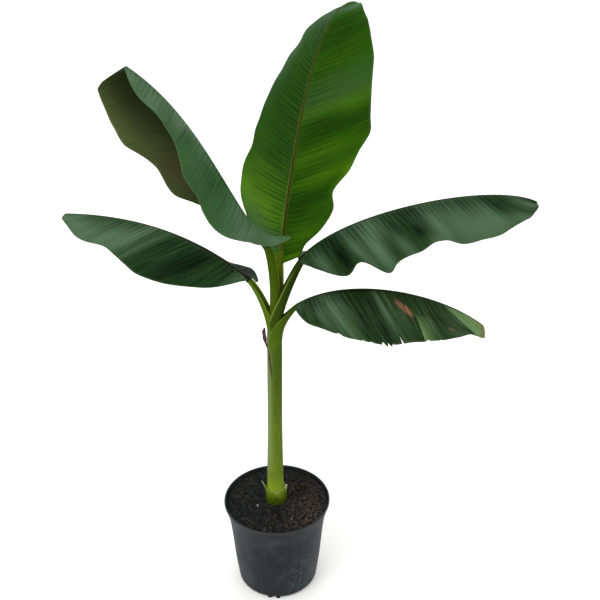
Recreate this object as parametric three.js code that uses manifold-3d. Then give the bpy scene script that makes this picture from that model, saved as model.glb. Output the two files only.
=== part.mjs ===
// A young banana plant in a round nursery pot: pot, soil, pseudostem, five petioles with their
// midribs, and two blade halves to each leaf. Millimetres, +Z up. The origin is the centre of the
// pot's flat underside, +X is the plant's right and +Y is its back.
import * as THREE from 'three';
import { mergeVertices } from 'three/addons/utils/BufferGeometryUtils.js';
import Module from 'manifold-3d';

const wasm = await Module();
wasm.setup();

// ---------------------------------------------------------------- driving dimensions
const GAP = 0.3;                      // clearance between pieces that touch

const POT = {
  height: 190, wall: 2, floor: 3, sides: 32,
  radii: [79.5, 83.7, 87.2, 89.7, 92.6, 97, 105],   // outside, evenly spaced, foot to rim
  footRadius: 74, chamfer: 5, lip: 1.5,
  notches: 10, notchWidth: 11, notchHeight: 4, notchDepth: 8,
};

const SOIL = { edge: 179, crown: 187, seatRadius: 24, unevenness: 1.6, sides: 32, rings: 5 };

const STEM = {
  top: 572, sides: 18, steps: 12,
  radii: [17, 14.8, 13.1, 13, 15.5],     // evenly spaced, ground to fork
  sideLean: -3,                          // how far the foot stands to the left of the fork
};

// Angles are in degrees round the stem, from the plant's right towards its back.
const COLLAR = {
  height: 33, thickness: 1.6, bulge: 3.5, sides: 32, rows: 3,
  shard: { angle: 190, rise: 17, lean: 12, spread: 11 },
  stub: { angle: 350, rise: 4, lean: 5, spread: 13 },
  dip: { angle: 285, rise: -7, lean: 0, spread: 22 },
};

const DRY_SHEATH = { foot: 480, tip: 579, footAngle: 262, tipAngle: 186, footSpan: 10, tipSpan: 16,
                     widest: 34, lift: 3.4, thickness: 1.4, steps: 8, across: 4 };

const BLADE = { thickness: 2.2, lengthSteps: 18, widthSteps: 4, fineSteps: 4, baseRound: 0.12,
                tipRound: 0.25, lobeReach: 0.18, first: 0.004, last: 0.985 };
const RIB = { sides: 8, steps: 10, tip: 1, start: 0.0015, end: 0.985, clearance: 1 };
const PETIOLE = { sides: 10, steps: 9, endRate: 45 };   // endRate: length per unit of t at its ends

// Leaves, oldest first. Each has a petiole and a rib, both cubic curves given by their control
// points; radii of the petiole (foot, middle, top) and of the rib's base; a roll of the blade about
// the rib (base, middle, tip); and two halves, named for a viewer who looks from base to tip.
// A half has its widths at even stations from base to tip, the droop of its veins in degrees beside
// the rib (inner) and at the margin (outer), the backward reach of its base lobe, the forward sweep
// of its veins as a share of the width, and ruffles [station, length, lift] of the margin.
const LEAVES = [
  {
    name: '1',
    petiole: [[5, -3, 572.6], [17, -7, 589], [26, -10, 614]],
    rib: [[38, -12, 624], [120, -25, 689], [277, -55, 675], [361, -62, 609]],
    radii: [12.5, 8.5, 6], ribBase: 5, roll: [0, 0, 0],
    left: { widths: [40, 85, 100, 85, 60, 40], inner: [35, 40, 40], outer: [60, 60, 60],
            lobe: 16, sweep: 0.5 },
    right: { widths: [20, 90, 98, 75, 51, 38], inner: [20, 20, 20], outer: [50, 50, 50],
             lobe: 5, sweep: 0.5 },
  },
  {
    name: '2',
    petiole: [[-2, -1, 572.6], [-8, 2, 604], [-28, 14, 648]],
    rib: [[-43, 20, 659], [-146, 65, 734], [-271, 115, 747], [-397, 150, 736]],
    radii: [10.5, 7.6, 6.5], ribBase: 5, roll: [0, 0, 0],
    left: { widths: [5, 57, 95, 101, 90, 77, 64, 60, 51, 36, 25], inner: [20, 20, 20],
            outer: [50, 50, 50], lobe: 10, sweep: 0.6 },
    right: { widths: [52, 85, 98, 85, 65, 35], inner: [8, 38, 40, 40, 40],
             outer: [18, 55, 60, 60, 60], lobe: 50, sweep: 0.6 },
  },
  {
    name: '3',
    petiole: [[2, 0, 585], [7, 0, 628], [32, -4, 684]],
    rib: [[45, 0, 703], [100, 18, 783], [369, 20, 844], [444, 5, 808]],
    radii: [11, 10, 8.8], ribBase: 6, roll: [0, 0, 0],
    left: { widths: [42, 90, 105, 95, 70, 35], inner: [30, 30, 30], outer: [60, 60, 60],
            lobe: 15, sweep: 0.45 },
    right: { widths: [20, 84, 104, 86, 60, 28], inner: [20, 20, 20], outer: [50, 50, 50],
             lobe: 20, sweep: 0.45, lengthSteps: 30,
             ruffles: [[0.1, 0.04, -12], [0.2, 0.035, 16], [0.28, 0.04, -14], [0.44, 0.06, 24],
                       [0.56, 0.05, -6]] },
  },
  {
    name: '4',
    petiole: [[1, 1, 600], [7, -5, 650], [0, -1, 720]],
    rib: [[-10, -5, 735], [-76, -40, 835], [-106, -57, 971], [-203, -110, 1053]],
    radii: [10, 9.5, 8.3], ribBase: 6, roll: [0, 0, 0],
    left: { widths: [72, 80, 90, 84, 75, 52], inner: [-90, 20, 30, 20, 18],
            outer: [60, 70, 45, 30, 28], lobe: 10, sweep: 0.1, baseRound: 0.06 },
    right: { widths: [25, 34, 46, 60, 74, 81, 84, 84, 79, 70, 56], inner: [40, 60, 85],
             outer: [80, 95, 100], lobe: 15, sweep: 0.35, tipRound: 0.04 },
  },
  {
    name: '5',
    petiole: [[5, 9, 610], [8, 10, 645], [8, 5, 677]],
    rib: [[10, 12, 695], [25, 50, 795], [58, 148, 1117], [147, 260, 1098]],
    radii: [6, 7, 7], ribBase: 5, roll: [14, 14, 0],
    left: { widths: [5, 60, 107, 106, 96, 89, 78, 71, 69, 50, 30], inner: [10, 25, 35],
            outer: [30, 40, 50], lobe: 15, sweep: 0.35 },
    right: { widths: [10, 48, 74, 92, 119, 108, 98, 83, 64, 49, 34], inner: [5, 10, 10],
             outer: [10, 10, 20], lobe: 15, sweep: 0.35, lengthSteps: 22 },
  },
];

// ---------------------------------------------------------------- finishes
const finish = (color, roughness) =>
  new THREE.MeshStandardMaterial({ color, roughness, metalness: 0 });
const FINISH = {
  pot: () => finish(0x3a4048, 0.55),
  soil: () => finish(0x2a211c, 1.0),
  stem: () => finish(0x6f8a32, 0.45),
  petiole: () => finish(0x5f7d24, 0.45),
  midrib: () => finish(0x8a8a4a, 0.5),
  blade: () => finish(0x2f5c34, 0.4),
  collar: () => finish(0x8a8a3c, 0.7),
  drySheath: () => finish(0x3d2a2a, 0.85),
};

// ---------------------------------------------------------------- small tools
const vec = (p) => new THREE.Vector3(...p);
const rad = THREE.MathUtils.degToRad;
const lerp = THREE.MathUtils.lerp;
const bump = (x, centre, spread) => Math.exp(-(((x - centre) / spread) ** 2));
const steps = (n) => Array.from({ length: n + 1 }, (_, i) => i / n);

/** Smooth value at t (0 to 1) through evenly spaced values, straight at both ends. */
function along(values, t) {
  const last = values.length - 1;
  const x = Math.min(Math.max(t, 0), 1) * last;
  const i = Math.min(Math.floor(x), last - 1);
  const f = x - i;
  const a = i > 0 ? values[i - 1] : 2 * values[0] - values[1];
  const d = i + 2 <= last ? values[i + 2] : 2 * values[last] - values[last - 1];
  const [b, c] = [values[i], values[i + 1]];
  return b + 0.5 * f * (c - a + f * (2 * a - 5 * b + 4 * c - d + f * (3 * (b - c) + d - a)));
}

/** Closed geometry from closed rings of equal length: capped at both ends, or joined end to end. */
function loft(rings, joined = false) {
  const count = rings[0].length;
  const positions = rings.flat().flatMap((p) => p.toArray());
  const index = [];
  for (let r = 0; r < rings.length - (joined ? 0 : 1); r += 1) {
    const next = ((r + 1) % rings.length) * count;
    for (let k = 0; k < count; k += 1) {
      const m = (k + 1) % count;
      index.push(r * count + k, r * count + m, next + m, r * count + k, next + m, next + k);
    }
  }
  for (const [start, flip] of joined ? [] : [[0, true], [(rings.length - 1) * count, false]]) {
    const centre = positions.length / 3;
    const sum = new THREE.Vector3();
    for (let k = 0; k < count; k += 1) {
      sum.add(new THREE.Vector3().fromArray(positions, (start + k) * 3));
      const [a, b] = [start + k, start + ((k + 1) % count)];
      index.push(...(flip ? [centre, b, a] : [centre, a, b]));
    }
    positions.push(...sum.divideScalar(count).toArray());
  }
  const geometry = new THREE.BufferGeometry();
  geometry.setAttribute('position', new THREE.Float32BufferAttribute(positions, 3));
  geometry.setIndex(index);
  return geometry;
}

/** Rings of a round limb that follows a curve; radiusAt(t) is its radius. */
function limbRings(curve, radiusAt, sides, count, start = 0, end = 1) {
  const side0 = new THREE.Vector3(0, -1, 0);
  return steps(count).map((s) => {
    const t = lerp(start, end, s);
    const centre = curve.getPoint(t);
    const tangent = curve.getTangent(THREE.MathUtils.clamp(t, 0, 1));
    const u = side0.clone().addScaledVector(tangent, -side0.dot(tangent)).normalize();
    const v = new THREE.Vector3().crossVectors(tangent, u);
    const r = radiusAt(t);
    return Array.from({ length: sides }, (_, k) => {
      const angle = (2 * Math.PI * k) / sides;
      return centre.clone().addScaledVector(u, r * Math.cos(angle))
        .addScaledVector(v, r * Math.sin(angle));
    });
  });
}

function toSolid(geometry) {
  const bare = geometry.clone();
  bare.deleteAttribute('normal');
  bare.deleteAttribute('uv');
  const merged = mergeVertices(bare, 1e-4);
  return new wasm.Manifold(new wasm.Mesh({
    numProp: 3,
    vertProperties: new Float32Array(merged.attributes.position.array),
    triVerts: new Uint32Array(merged.index.array),
  }));
}

function toGeometry(solid) {
  const mesh = solid.getMesh();
  const geometry = new THREE.BufferGeometry();
  geometry.setAttribute('position', new THREE.Float32BufferAttribute(mesh.vertProperties, 3));
  geometry.setIndex(Array.from(mesh.triVerts));
  return geometry;
}

/** What the cutters leave of a piece: its largest body, without slivers. */
function cut(geometry, cutters) {
  const left = cutters.reduce((solid, cutter) => solid.subtract(toSolid(cutter)), toSolid(geometry));
  return toGeometry(left.decompose().reduce((a, b) => (b.volume() > a.volume() ? b : a)));
}

const group = new THREE.Group();
function add(name, geometry, material) {
  const mesh = new THREE.Mesh(geometry, material);
  mesh.name = name;
  group.add(mesh);
}

// ---------------------------------------------------------------- pot
/** Outer radius of the pot's wall at a height. */
const potRadius = (z) => along(POT.radii, z / POT.height);

function makePot() {
  const { height, footRadius, chamfer, wall, floor, lip, sides } = POT;
  const rim = potRadius(height);
  const outer = [chamfer, 60, 120, 155, 175].map((z) => [potRadius(z), z]);
  const inner = [170, 120, 60, chamfer + floor].map((z) => [potRadius(z) - wall, z]);
  const profile = [
    [0, 0], [footRadius, 0], ...outer,
    [rim, height - 2 * lip], [rim, height - lip], [rim - lip, height], [rim - wall - lip, height - lip],
    ...inner, [footRadius - wall, floor], [0, floor],
  ].map((p) => new THREE.Vector2(...p));
  const body = new THREE.LatheGeometry(profile, sides).rotateX(Math.PI / 2);
  const notches = Array.from({ length: POT.notches }, (_, k) => {
    const depth = 2 * POT.notchDepth;
    const box = new THREE.BoxGeometry(depth, POT.notchWidth, POT.notchHeight * 2);
    box.translate(footRadius - POT.notchDepth / 2 + depth / 2, 0, 0);
    return box.rotateZ((2 * Math.PI * k) / POT.notches - Math.PI / 2);
  });
  add('pot', cut(body, notches), FINISH.pot());
}

// ---------------------------------------------------------------- soil
/** Height of the soil: an uneven mound, level under the stem. */
function soilHeight(r, angle) {
  const rim = potRadius(SOIL.edge) - POT.wall;
  const away = Math.max(0, (r - SOIL.seatRadius) / (rim - SOIL.seatRadius));
  const waves = Math.sin(3 * angle + 0.8) + 0.7 * Math.sin(5 * angle + 2.1 + 3 * away);
  return lerp(SOIL.crown, SOIL.edge, away ** 0.8)
    + SOIL.unevenness * waves * Math.sin(Math.PI * away);
}

function makeSoil() {
  const ring = (radiusOf, heightOf) => Array.from({ length: SOIL.sides }, (_, k) => {
    const angle = (2 * Math.PI * k) / SOIL.sides;
    const r = radiusOf(angle);
    return new THREE.Vector3(r * Math.cos(angle), r * Math.sin(angle), heightOf(angle));
  });
  const wallAt = (z) => potRadius(z) - POT.wall - 2 * GAP;
  const foot = POT.footRadius - POT.wall - 2 * GAP;
  const rings = [ring(() => foot, () => POT.floor + GAP)];
  for (const z of [9, 60, 120, 165]) rings.push(ring(() => wallAt(z), () => z));
  const top = wallAt(SOIL.edge) - GAP;
  rings.push(ring(() => top, () => SOIL.edge));
  for (let k = SOIL.rings; k >= 1; k -= 1) {
    const r = lerp(SOIL.seatRadius, top - 2, (k - 1) / (SOIL.rings - 1));
    rings.push(ring(() => r, (angle) => soilHeight(r, angle)));
  }
  add('soil', loft(rings), FINISH.soil());
}

// ---------------------------------------------------------------- stem
const STEM_FOOT = SOIL.crown + GAP;
const stemShare = (z) => (z - STEM_FOOT) / (STEM.top - STEM_FOOT);
const stemCentreX = (z) => STEM.sideLean * (1 - stemShare(z));
const stemRadius = (z) => along(STEM.radii, stemShare(z));

function stemGeometry(extra = 0) {
  const rings = steps(STEM.steps).map((s) => {
    const z = lerp(STEM_FOOT - extra, STEM.top + extra, s ** 1.25);
    const r = stemRadius(z) + extra;
    return Array.from({ length: STEM.sides }, (_, k) => {
      const angle = (2 * Math.PI * k) / STEM.sides;
      return new THREE.Vector3(stemCentreX(z) + r * Math.cos(angle), r * Math.sin(angle), z);
    });
  });
  return loft(rings);
}

/** Cut-off old sheath round the foot of the stem, uneven, with a shard and a stub left standing. */
function makeCollar() {
  const features = [COLLAR.shard, COLLAR.stub, COLLAR.dip];
  const sections = Array.from({ length: COLLAR.sides }, (_, k) => {
    const angle = (360 * k) / COLLAR.sides;
    const total = (key) => features.reduce((sum, f) => sum + f[key] * bump(angle, f.angle, f.spread), 0);
    const height = COLLAR.height + total('rise');
    const lean = total('lean');
    const swell = COLLAR.bulge * (1 + Math.cos(rad(angle))) / 2;
    const wall = (offset) => steps(COLLAR.rows).map((s) => {
      const z = STEM_FOOT + height * s;
      const r = stemRadius(z) + 2 * GAP + offset + lean * s ** 2;
      return new THREE.Vector3(stemCentreX(z) + r * Math.cos(rad(angle)), r * Math.sin(rad(angle)), z);
    });
    return [...wall(0), ...wall(COLLAR.thickness + swell).reverse()];
  });
  add('collar', loft(sections, true), FINISH.collar());
}

/** Dead sheath that clings to the stem, its edge running round it and its tip standing off. */
function makeDrySheath() {
  const d = DRY_SHEATH;
  const rings = steps(d.steps).map((s) => {
    const z = lerp(d.foot, d.tip, s);
    const middle = lerp(d.footAngle, d.tipAngle, s ** 0.8);
    const span = lerp(d.footSpan, d.tipSpan, s) + d.widest * Math.sin(Math.PI * s) * (1 - s);
    const lift = 2 * GAP + d.lift * s ** 5;
    const arc = (offset) => steps(d.across).map((u) => {
      const angle = rad(middle + span * (u - 0.5));
      const r = stemRadius(Math.min(z, STEM.top)) + lift + offset;
      return new THREE.Vector3(stemCentreX(z) + r * Math.cos(angle), r * Math.sin(angle), z);
    });
    return [...arc(0).reverse(), ...arc(d.thickness)];
  });
  add('dry_sheath', loft(rings), FINISH.drySheath());
}

// ---------------------------------------------------------------- leaves
function petioleCurve(leaf) {
  return new THREE.CubicBezierCurve3(...leaf.petiole.map(vec), vec(leaf.rib[0]));
}
const ribCurve = (leaf) => new THREE.CubicBezierCurve3(...leaf.rib.map(vec));
const petioleRadius = (leaf, t) => along(leaf.radii, t);
const ribRadius = (leaf, t) => lerp(leaf.ribBase, RIB.tip, Math.min(1, t) ** 0.75);

/** Petiole, or with extra the petiole grown by that much all round and at both ends. */
function petioleGeometry(leaf, extra = 0) {
  const overshoot = extra / PETIOLE.endRate;
  return loft(limbRings(petioleCurve(leaf), (t) => petioleRadius(leaf, t) + extra,
    PETIOLE.sides, PETIOLE.steps, -overshoot, 1 + overshoot));
}

function midribGeometry(leaf) {
  return loft(limbRings(ribCurve(leaf), (t) => ribRadius(leaf, t), RIB.sides, RIB.steps,
    RIB.start, RIB.end));
}

/** Place, tangent, side and upper normal of a leaf's rib at t. */
function leafFrame(leaf, t) {
  const curve = ribCurve(leaf);
  const tangent = curve.getTangent(t);
  const heading = Math.atan2(leaf.rib[3][1] - leaf.rib[0][1], leaf.rib[3][0] - leaf.rib[0][0]);
  const side = new THREE.Vector3(-Math.sin(heading), Math.cos(heading), 0);
  side.addScaledVector(tangent, -side.dot(tangent)).normalize();
  side.applyAxisAngle(tangent, rad(along(leaf.roll, t)));
  const up = new THREE.Vector3().crossVectors(tangent, side);
  return { at: curve.getPoint(t), tangent, side, up };
}

/** Share of the full width left at t by the rounded base and tip. */
function ends(t, baseRound, tipRound) {
  const base = 1 - Math.min(t / baseRound, 1);
  const tip = 1 - Math.min((1 - t) / tipRound, 1);
  return Math.sqrt(1 - base * base) * Math.sqrt(Math.max(0, 1 - tip * tip));
}

/** Points of one vein of a half blade at t, from the rib to the margin. */
function vein(leaf, half, sign, t) {
  const { at, tangent, side, up } = leafFrame(leaf, t);
  const baseRound = half.baseRound ?? BLADE.baseRound;
  const tipRound = half.tipRound ?? BLADE.tipRound;
  const width = along(half.widths, t) * ends(t, baseRound, tipRound);
  const [inner, outer] = [along(half.inner, t), along(half.outer, t)];
  const nearBase = bump(t, 0, BLADE.lobeReach);
  const lift = (half.ruffles ?? []).reduce((sum, [s, l, h]) => sum + h * bump(t, s, l), 0);
  const point = at.clone();
  const go = (angle, far) => point.addScaledVector(side, sign * Math.cos(rad(angle)) * far)
    .addScaledVector(up, -Math.sin(rad(angle)) * far);
  go(inner, ribRadius(leaf, t) + RIB.clearance);
  const count = BLADE.widthSteps * BLADE.fineSteps;
  const found = [];
  for (let j = 0; j <= count; j += 1) {
    const u = j / count;
    if (j % BLADE.fineSteps === 0) {
      const forward = half.sweep * width * (1 - nearBase) * u
        - half.lobe * nearBase * (width / Math.max(...half.widths)) * u ** 1.3;
      found.push(point.clone().addScaledVector(tangent, forward).addScaledVector(up, lift * u ** 1.6));
    }
    go(lerp(inner, outer, u), width / count);
  }
  return found;
}

/** One half of a blade: a thin closed solid round its middle surface. */
function bladeGeometry(leaf, half, sign) {
  const stations = steps(half.lengthSteps ?? BLADE.lengthSteps)
    .map((s) => lerp(BLADE.first, BLADE.last, 0.5 - 0.5 * Math.cos(Math.PI * s)));
  const grid = stations.map((t) => vein(leaf, half, sign, t));
  const last = [grid.length - 1, grid[0].length - 1];
  const normalAt = (i, j) => {
    const a = grid[Math.min(i + 1, last[0])][j].clone().sub(grid[Math.max(i - 1, 0)][j]);
    const b = grid[i][Math.min(j + 1, last[1])].clone().sub(grid[i][Math.max(j - 1, 0)]);
    return a.cross(b).multiplyScalar(sign).normalize();
  };
  const rings = grid.map((row, i) => {
    const offset = (way) => row.map((p, j) =>
      p.clone().addScaledVector(normalAt(i, j), (way * BLADE.thickness) / 2));
    const ring = [...offset(1), ...offset(-1).reverse()];
    return sign > 0 ? ring.reverse() : ring;
  });
  return loft(rings);
}

function makeLeaves() {
  const limbs = [stemGeometry(GAP)];
  for (const leaf of LEAVES) {
    add(`petiole_${leaf.name}`, cut(petioleGeometry(leaf), limbs), FINISH.petiole());
    limbs.push(petioleGeometry(leaf, GAP));
  }
  for (const leaf of LEAVES) {
    const petioles = limbs.slice(1);
    add(`midrib_${leaf.name}`, cut(midribGeometry(leaf), petioles), FINISH.midrib());
    add(`blade_${leaf.name}_left`, cut(bladeGeometry(leaf, leaf.left, 1), petioles), FINISH.blade());
    add(`blade_${leaf.name}_right`, cut(bladeGeometry(leaf, leaf.right, -1), petioles), FINISH.blade());
  }
}

makePot();
makeSoil();
add('stem', stemGeometry(), FINISH.stem());
makeCollar();
makeDrySheath();
makeLeaves();

export default group;
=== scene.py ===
"""A young banana plant in a round nursery pot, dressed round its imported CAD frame.

The frame gives the pieces' places. Each leaf here follows its CAD blades' rib curve and outline at
full detail: pleated veins, waves, a channelled midrib and petiole. The pot, the compost and the
sheaths are made the same way. Metres, +Z up, origin under the middle of the pot.
"""

from __future__ import annotations

import logging
import math
from dataclasses import dataclass
from enum import Enum
from typing import Any, Mapping, Sequence

import bpy
import numpy as np
from bpy.types import Material, Mesh, Node, NodeSocket, NodeTree, Object
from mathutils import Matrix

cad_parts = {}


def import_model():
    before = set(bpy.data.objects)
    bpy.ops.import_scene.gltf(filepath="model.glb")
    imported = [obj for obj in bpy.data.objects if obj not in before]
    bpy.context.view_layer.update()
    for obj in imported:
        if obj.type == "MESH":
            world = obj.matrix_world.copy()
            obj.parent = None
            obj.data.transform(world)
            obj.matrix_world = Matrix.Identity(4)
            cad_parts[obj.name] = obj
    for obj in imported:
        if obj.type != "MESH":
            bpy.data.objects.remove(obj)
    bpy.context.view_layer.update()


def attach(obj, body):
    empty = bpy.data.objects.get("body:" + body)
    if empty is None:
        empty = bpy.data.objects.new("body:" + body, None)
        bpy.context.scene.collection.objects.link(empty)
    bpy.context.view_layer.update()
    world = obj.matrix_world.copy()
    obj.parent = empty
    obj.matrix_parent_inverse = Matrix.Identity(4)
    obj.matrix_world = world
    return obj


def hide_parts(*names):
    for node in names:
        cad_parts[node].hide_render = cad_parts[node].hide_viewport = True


LOG = logging.getLogger("banana_plant")
MM = 0.001
Array = np.ndarray
LimbFrame = tuple[Array, Array, Array, Array]  # points, tangents, sides and upper normals


# ---------------------------------------------------------------- small tools
def linear(code: str) -> tuple[float, float, float, float]:
    """Turn an sRGB hex colour into linear light.

    Args:
        code: colour such as "#3a5a20".

    Returns:
        Red, green, blue and an alpha of 1.
    """
    parts = [int(code[i:i + 2], 16) / 255 for i in (1, 3, 5)]
    r, g, b = (c / 12.92 if c <= 0.04045 else ((c + 0.055) / 1.055) ** 2.4 for c in parts)
    return r, g, b, 1.0


def along(values: Sequence[float], t: Array) -> Array:
    """Read a smooth curve through evenly spaced values.

    Args:
        values: the curve's values from t = 0 to t = 1.
        t: where to read it.

    Returns:
        The value at each t.
    """
    v = np.asarray(values, float)
    last = len(v) - 1
    x = np.clip(t, 0, 1) * last
    i = np.minimum(x.astype(int), last - 1)
    f = x - i
    padded = np.concatenate(([2 * v[0] - v[1]], v, [2 * v[-1] - v[-2]]))
    a, b, c, d = (padded[i + k] for k in range(4))
    return b + 0.5 * f * (c - a + f * (2 * a - 5 * b + 4 * c - d + f * (3 * (b - c) + d - a)))


def bump(x: Array, centre: float, spread: float) -> Array:
    """Return a smooth hump of height 1 round centre."""
    return np.exp(-(((x - centre) / spread) ** 2))


def smooth(low: float, high: float, x: Array) -> Array:
    """Return 0 below low, 1 above high and a smooth rise between."""
    f = np.clip((x - low) / (high - low), 0, 1)
    return f * f * (3 - 2 * f)


def unit(v: Array) -> Array:
    """Return vectors scaled to length 1."""
    return v / np.maximum(np.linalg.norm(v, axis=-1, keepdims=True), 1e-12)


def cubic(points: Sequence[Sequence[float]], t: Array) -> tuple[Array, Array]:
    """Follow a cubic curve given by its four control points.

    Args:
        points: control points in millimetres.
        t: places along the curve.

    Returns:
        Points in metres and unit tangents.
    """
    p = np.asarray(points, float) * MM
    s = np.asarray(t)[:, None]
    r = 1 - s
    at = r**3 * p[0] + 3 * r * r * s * p[1] + 3 * r * s * s * p[2] + s**3 * p[3]
    rate = 3 * (r * r * (p[1] - p[0]) + 2 * r * s * (p[2] - p[1]) + s * s * (p[3] - p[2]))
    return at, unit(rate)


def turn(v: Array, axis: Array, degrees: Array) -> Array:
    """Return vectors turned in degrees about unit axes that they stand square on."""
    a = np.radians(degrees)[:, None]
    return v * np.cos(a) + np.cross(axis, v) * np.sin(a)


def waves(x: Array, rng: np.random.Generator, pitch: float, count: int = 5) -> Array:
    """Make an uneven wave line out of a few sines.

    Args:
        x: places in metres.
        rng: source of the random phases.
        pitch: mean distance between crests in metres.
        count: how many sines are mixed.

    Returns:
        Heights between about -1 and 1.
    """
    total = np.zeros_like(x)
    for _ in range(count):
        total += np.sin(2 * math.pi * x / (pitch * rng.uniform(0.6, 1.7)) + rng.uniform(0, 2 * math.pi))
    return total / math.sqrt(count) * 0.75


def grid_faces(rows: int, columns: int, wrap: bool = False) -> Array:
    """List the quads of a grid of points.

    Args:
        rows: points down the grid.
        columns: points across it.
        wrap: whether the last column joins the first.

    Returns:
        Four point numbers for each quad.
    """
    i, j = np.meshgrid(np.arange(rows - 1), np.arange(columns - (0 if wrap else 1)), indexing="ij")
    k = (j + 1) % columns
    quads = np.stack([i * columns + j, (i + 1) * columns + j, (i + 1) * columns + k, i * columns + k], -1)
    return quads.reshape(-1, 4)


def around_axis(r: Array, angle: Array, z: Array, middle: Array | float = 0.0) -> Array:
    """Return points in metres round an upright axis at middle, from millimetres and radians."""
    return np.stack(np.broadcast_arrays(middle + r * np.cos(angle), r * np.sin(angle), z), -1) * MM


def ring_faces(rows: int, columns: int, capped: bool = False) -> list[Array]:
    """List the faces of a stack of rings.

    Args:
        rows: how many rings.
        columns: points round each.
        capped: whether one face closes each end.

    Returns:
        The faces between the rings, then those of the ends.
    """
    faces = [grid_faces(rows, columns, wrap=True)[:, ::-1]]
    if capped:
        ring = np.arange(columns)[None, :]
        faces += [ring[:, ::-1], (rows - 1) * columns + ring]
    return faces


def skin_faces(rows: int, columns: int, flip: bool) -> list[Array]:
    """List the faces of a thin skin made of two like sheets, one over the other.

    Args:
        rows: points down a sheet.
        columns: points across it.
        flip: whether the first sheet faces the other way.

    Returns:
        The first sheet's faces, the second's, and those of the rim between them.
    """
    count = rows * columns
    number = np.arange(count).reshape(rows, columns)
    ring = np.concatenate([number[0, :-1], number[:-1, -1], number[-1, :0:-1], number[:0:-1, 0]])
    faces = grid_faces(rows, columns)
    if flip:
        faces, ring = faces[:, ::-1], ring[::-1]
    after = np.roll(ring, -1)
    return [faces, faces[:, ::-1] + count, np.stack([ring, after, after + count, ring + count], -1)]


def path_length(points: Array) -> Array:
    """Return how far along its path each point of a line lies."""
    return np.concatenate(([0.0], np.cumsum(np.linalg.norm(np.diff(points, axis=0), axis=1))))


def build_mesh(name: str, points: Array, faces: Sequence[Array], materials: Sequence[Material],
               slots: Sequence[int] = (), fields: Mapping[str, Array] | None = None,
               uv: tuple[Array, Array] | None = None) -> Object:
    """Make an object from points and faces, with its attributes and materials.

    Args:
        name: the object's name.
        points: point places in metres, as a list or a grid.
        faces: arrays of faces, each array with one number of corners.
        materials: the object's materials.
        slots: for each array of faces, its material's number, where it isn't the first.
        fields: point attributes by name, each of the grid's shape or spread over it.
        uv: the place on the surface in metres, across and along, given in the same way.

    Returns:
        The new object, linked to the scene.
    """
    mesh = bpy.data.meshes.new(name)
    grid = points.shape[:-1]
    corners = np.concatenate([f.reshape(-1) for f in faces]).astype(np.int32)
    sizes = np.concatenate([np.full(len(f), f.shape[1]) for f in faces]).astype(np.int32)
    mesh.vertices.add(math.prod(grid))
    mesh.vertices.foreach_set("co", np.asarray(points, np.float32).reshape(-1))
    mesh.loops.add(len(corners))
    mesh.loops.foreach_set("vertex_index", corners)
    mesh.polygons.add(len(sizes))
    mesh.polygons.foreach_set("loop_start", (np.cumsum(sizes) - sizes).astype(np.int32))
    mesh.polygons.foreach_set("loop_total", sizes)
    for material in materials:
        mesh.materials.append(material)
    if slots:
        numbers = np.repeat(slots, [len(f) for f in faces])
        mesh.polygons.foreach_set("material_index", numbers.astype(np.int32))
    for key, values in (fields or {}).items():
        attribute = mesh.attributes.new(key, "FLOAT", "POINT")
        attribute.data.foreach_set("value", np.broadcast_to(values, grid).astype(np.float32).reshape(-1))
    if uv is not None:
        layer = mesh.uv_layers.new(name="surface")
        places = np.stack([np.broadcast_to(v, grid).reshape(-1) for v in uv], -1).astype(np.float32)
        layer.data.foreach_set("uv", places[corners].reshape(-1))
    mesh.update(calc_edges=True)
    mesh.validate()
    mesh.polygons.foreach_set("use_smooth", np.full(len(mesh.polygons), True))
    return link(bpy.data.objects.new(name, mesh))


def link(made: Object) -> Object:
    """Put an object in the scene and return it."""
    bpy.context.scene.collection.objects.link(made)
    return made


def add_node(tree: NodeTree, kind: str, inputs: Mapping[Any, Any] | None = None,
             **settings: Any) -> Node:
    """Add a node with its settings, constants and links.

    Args:
        tree: the node tree.
        kind: the node's type name.
        inputs: for an input socket's name or number, a constant, or the output that feeds it, or the
            node whose first output does.
        settings: the node's own properties.

    Returns:
        The new node.
    """
    node = tree.nodes.new(kind)
    for key, value in settings.items():
        setattr(node, key, value)
    for key, value in (inputs or {}).items():
        if isinstance(value, Node):
            value = value.outputs[0]
        if isinstance(value, NodeSocket):
            tree.links.new(value, node.inputs[key])
        else:
            node.inputs[key].default_value = value
    return node


# ---------------------------------------------------------------- finishes
class Where(Enum):
    """What a pattern is laid on."""

    SURFACE = "surface"  # the piece's own surface map, in metres across and along it
    PLACE = "place"  # the place in the plant's frame


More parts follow.
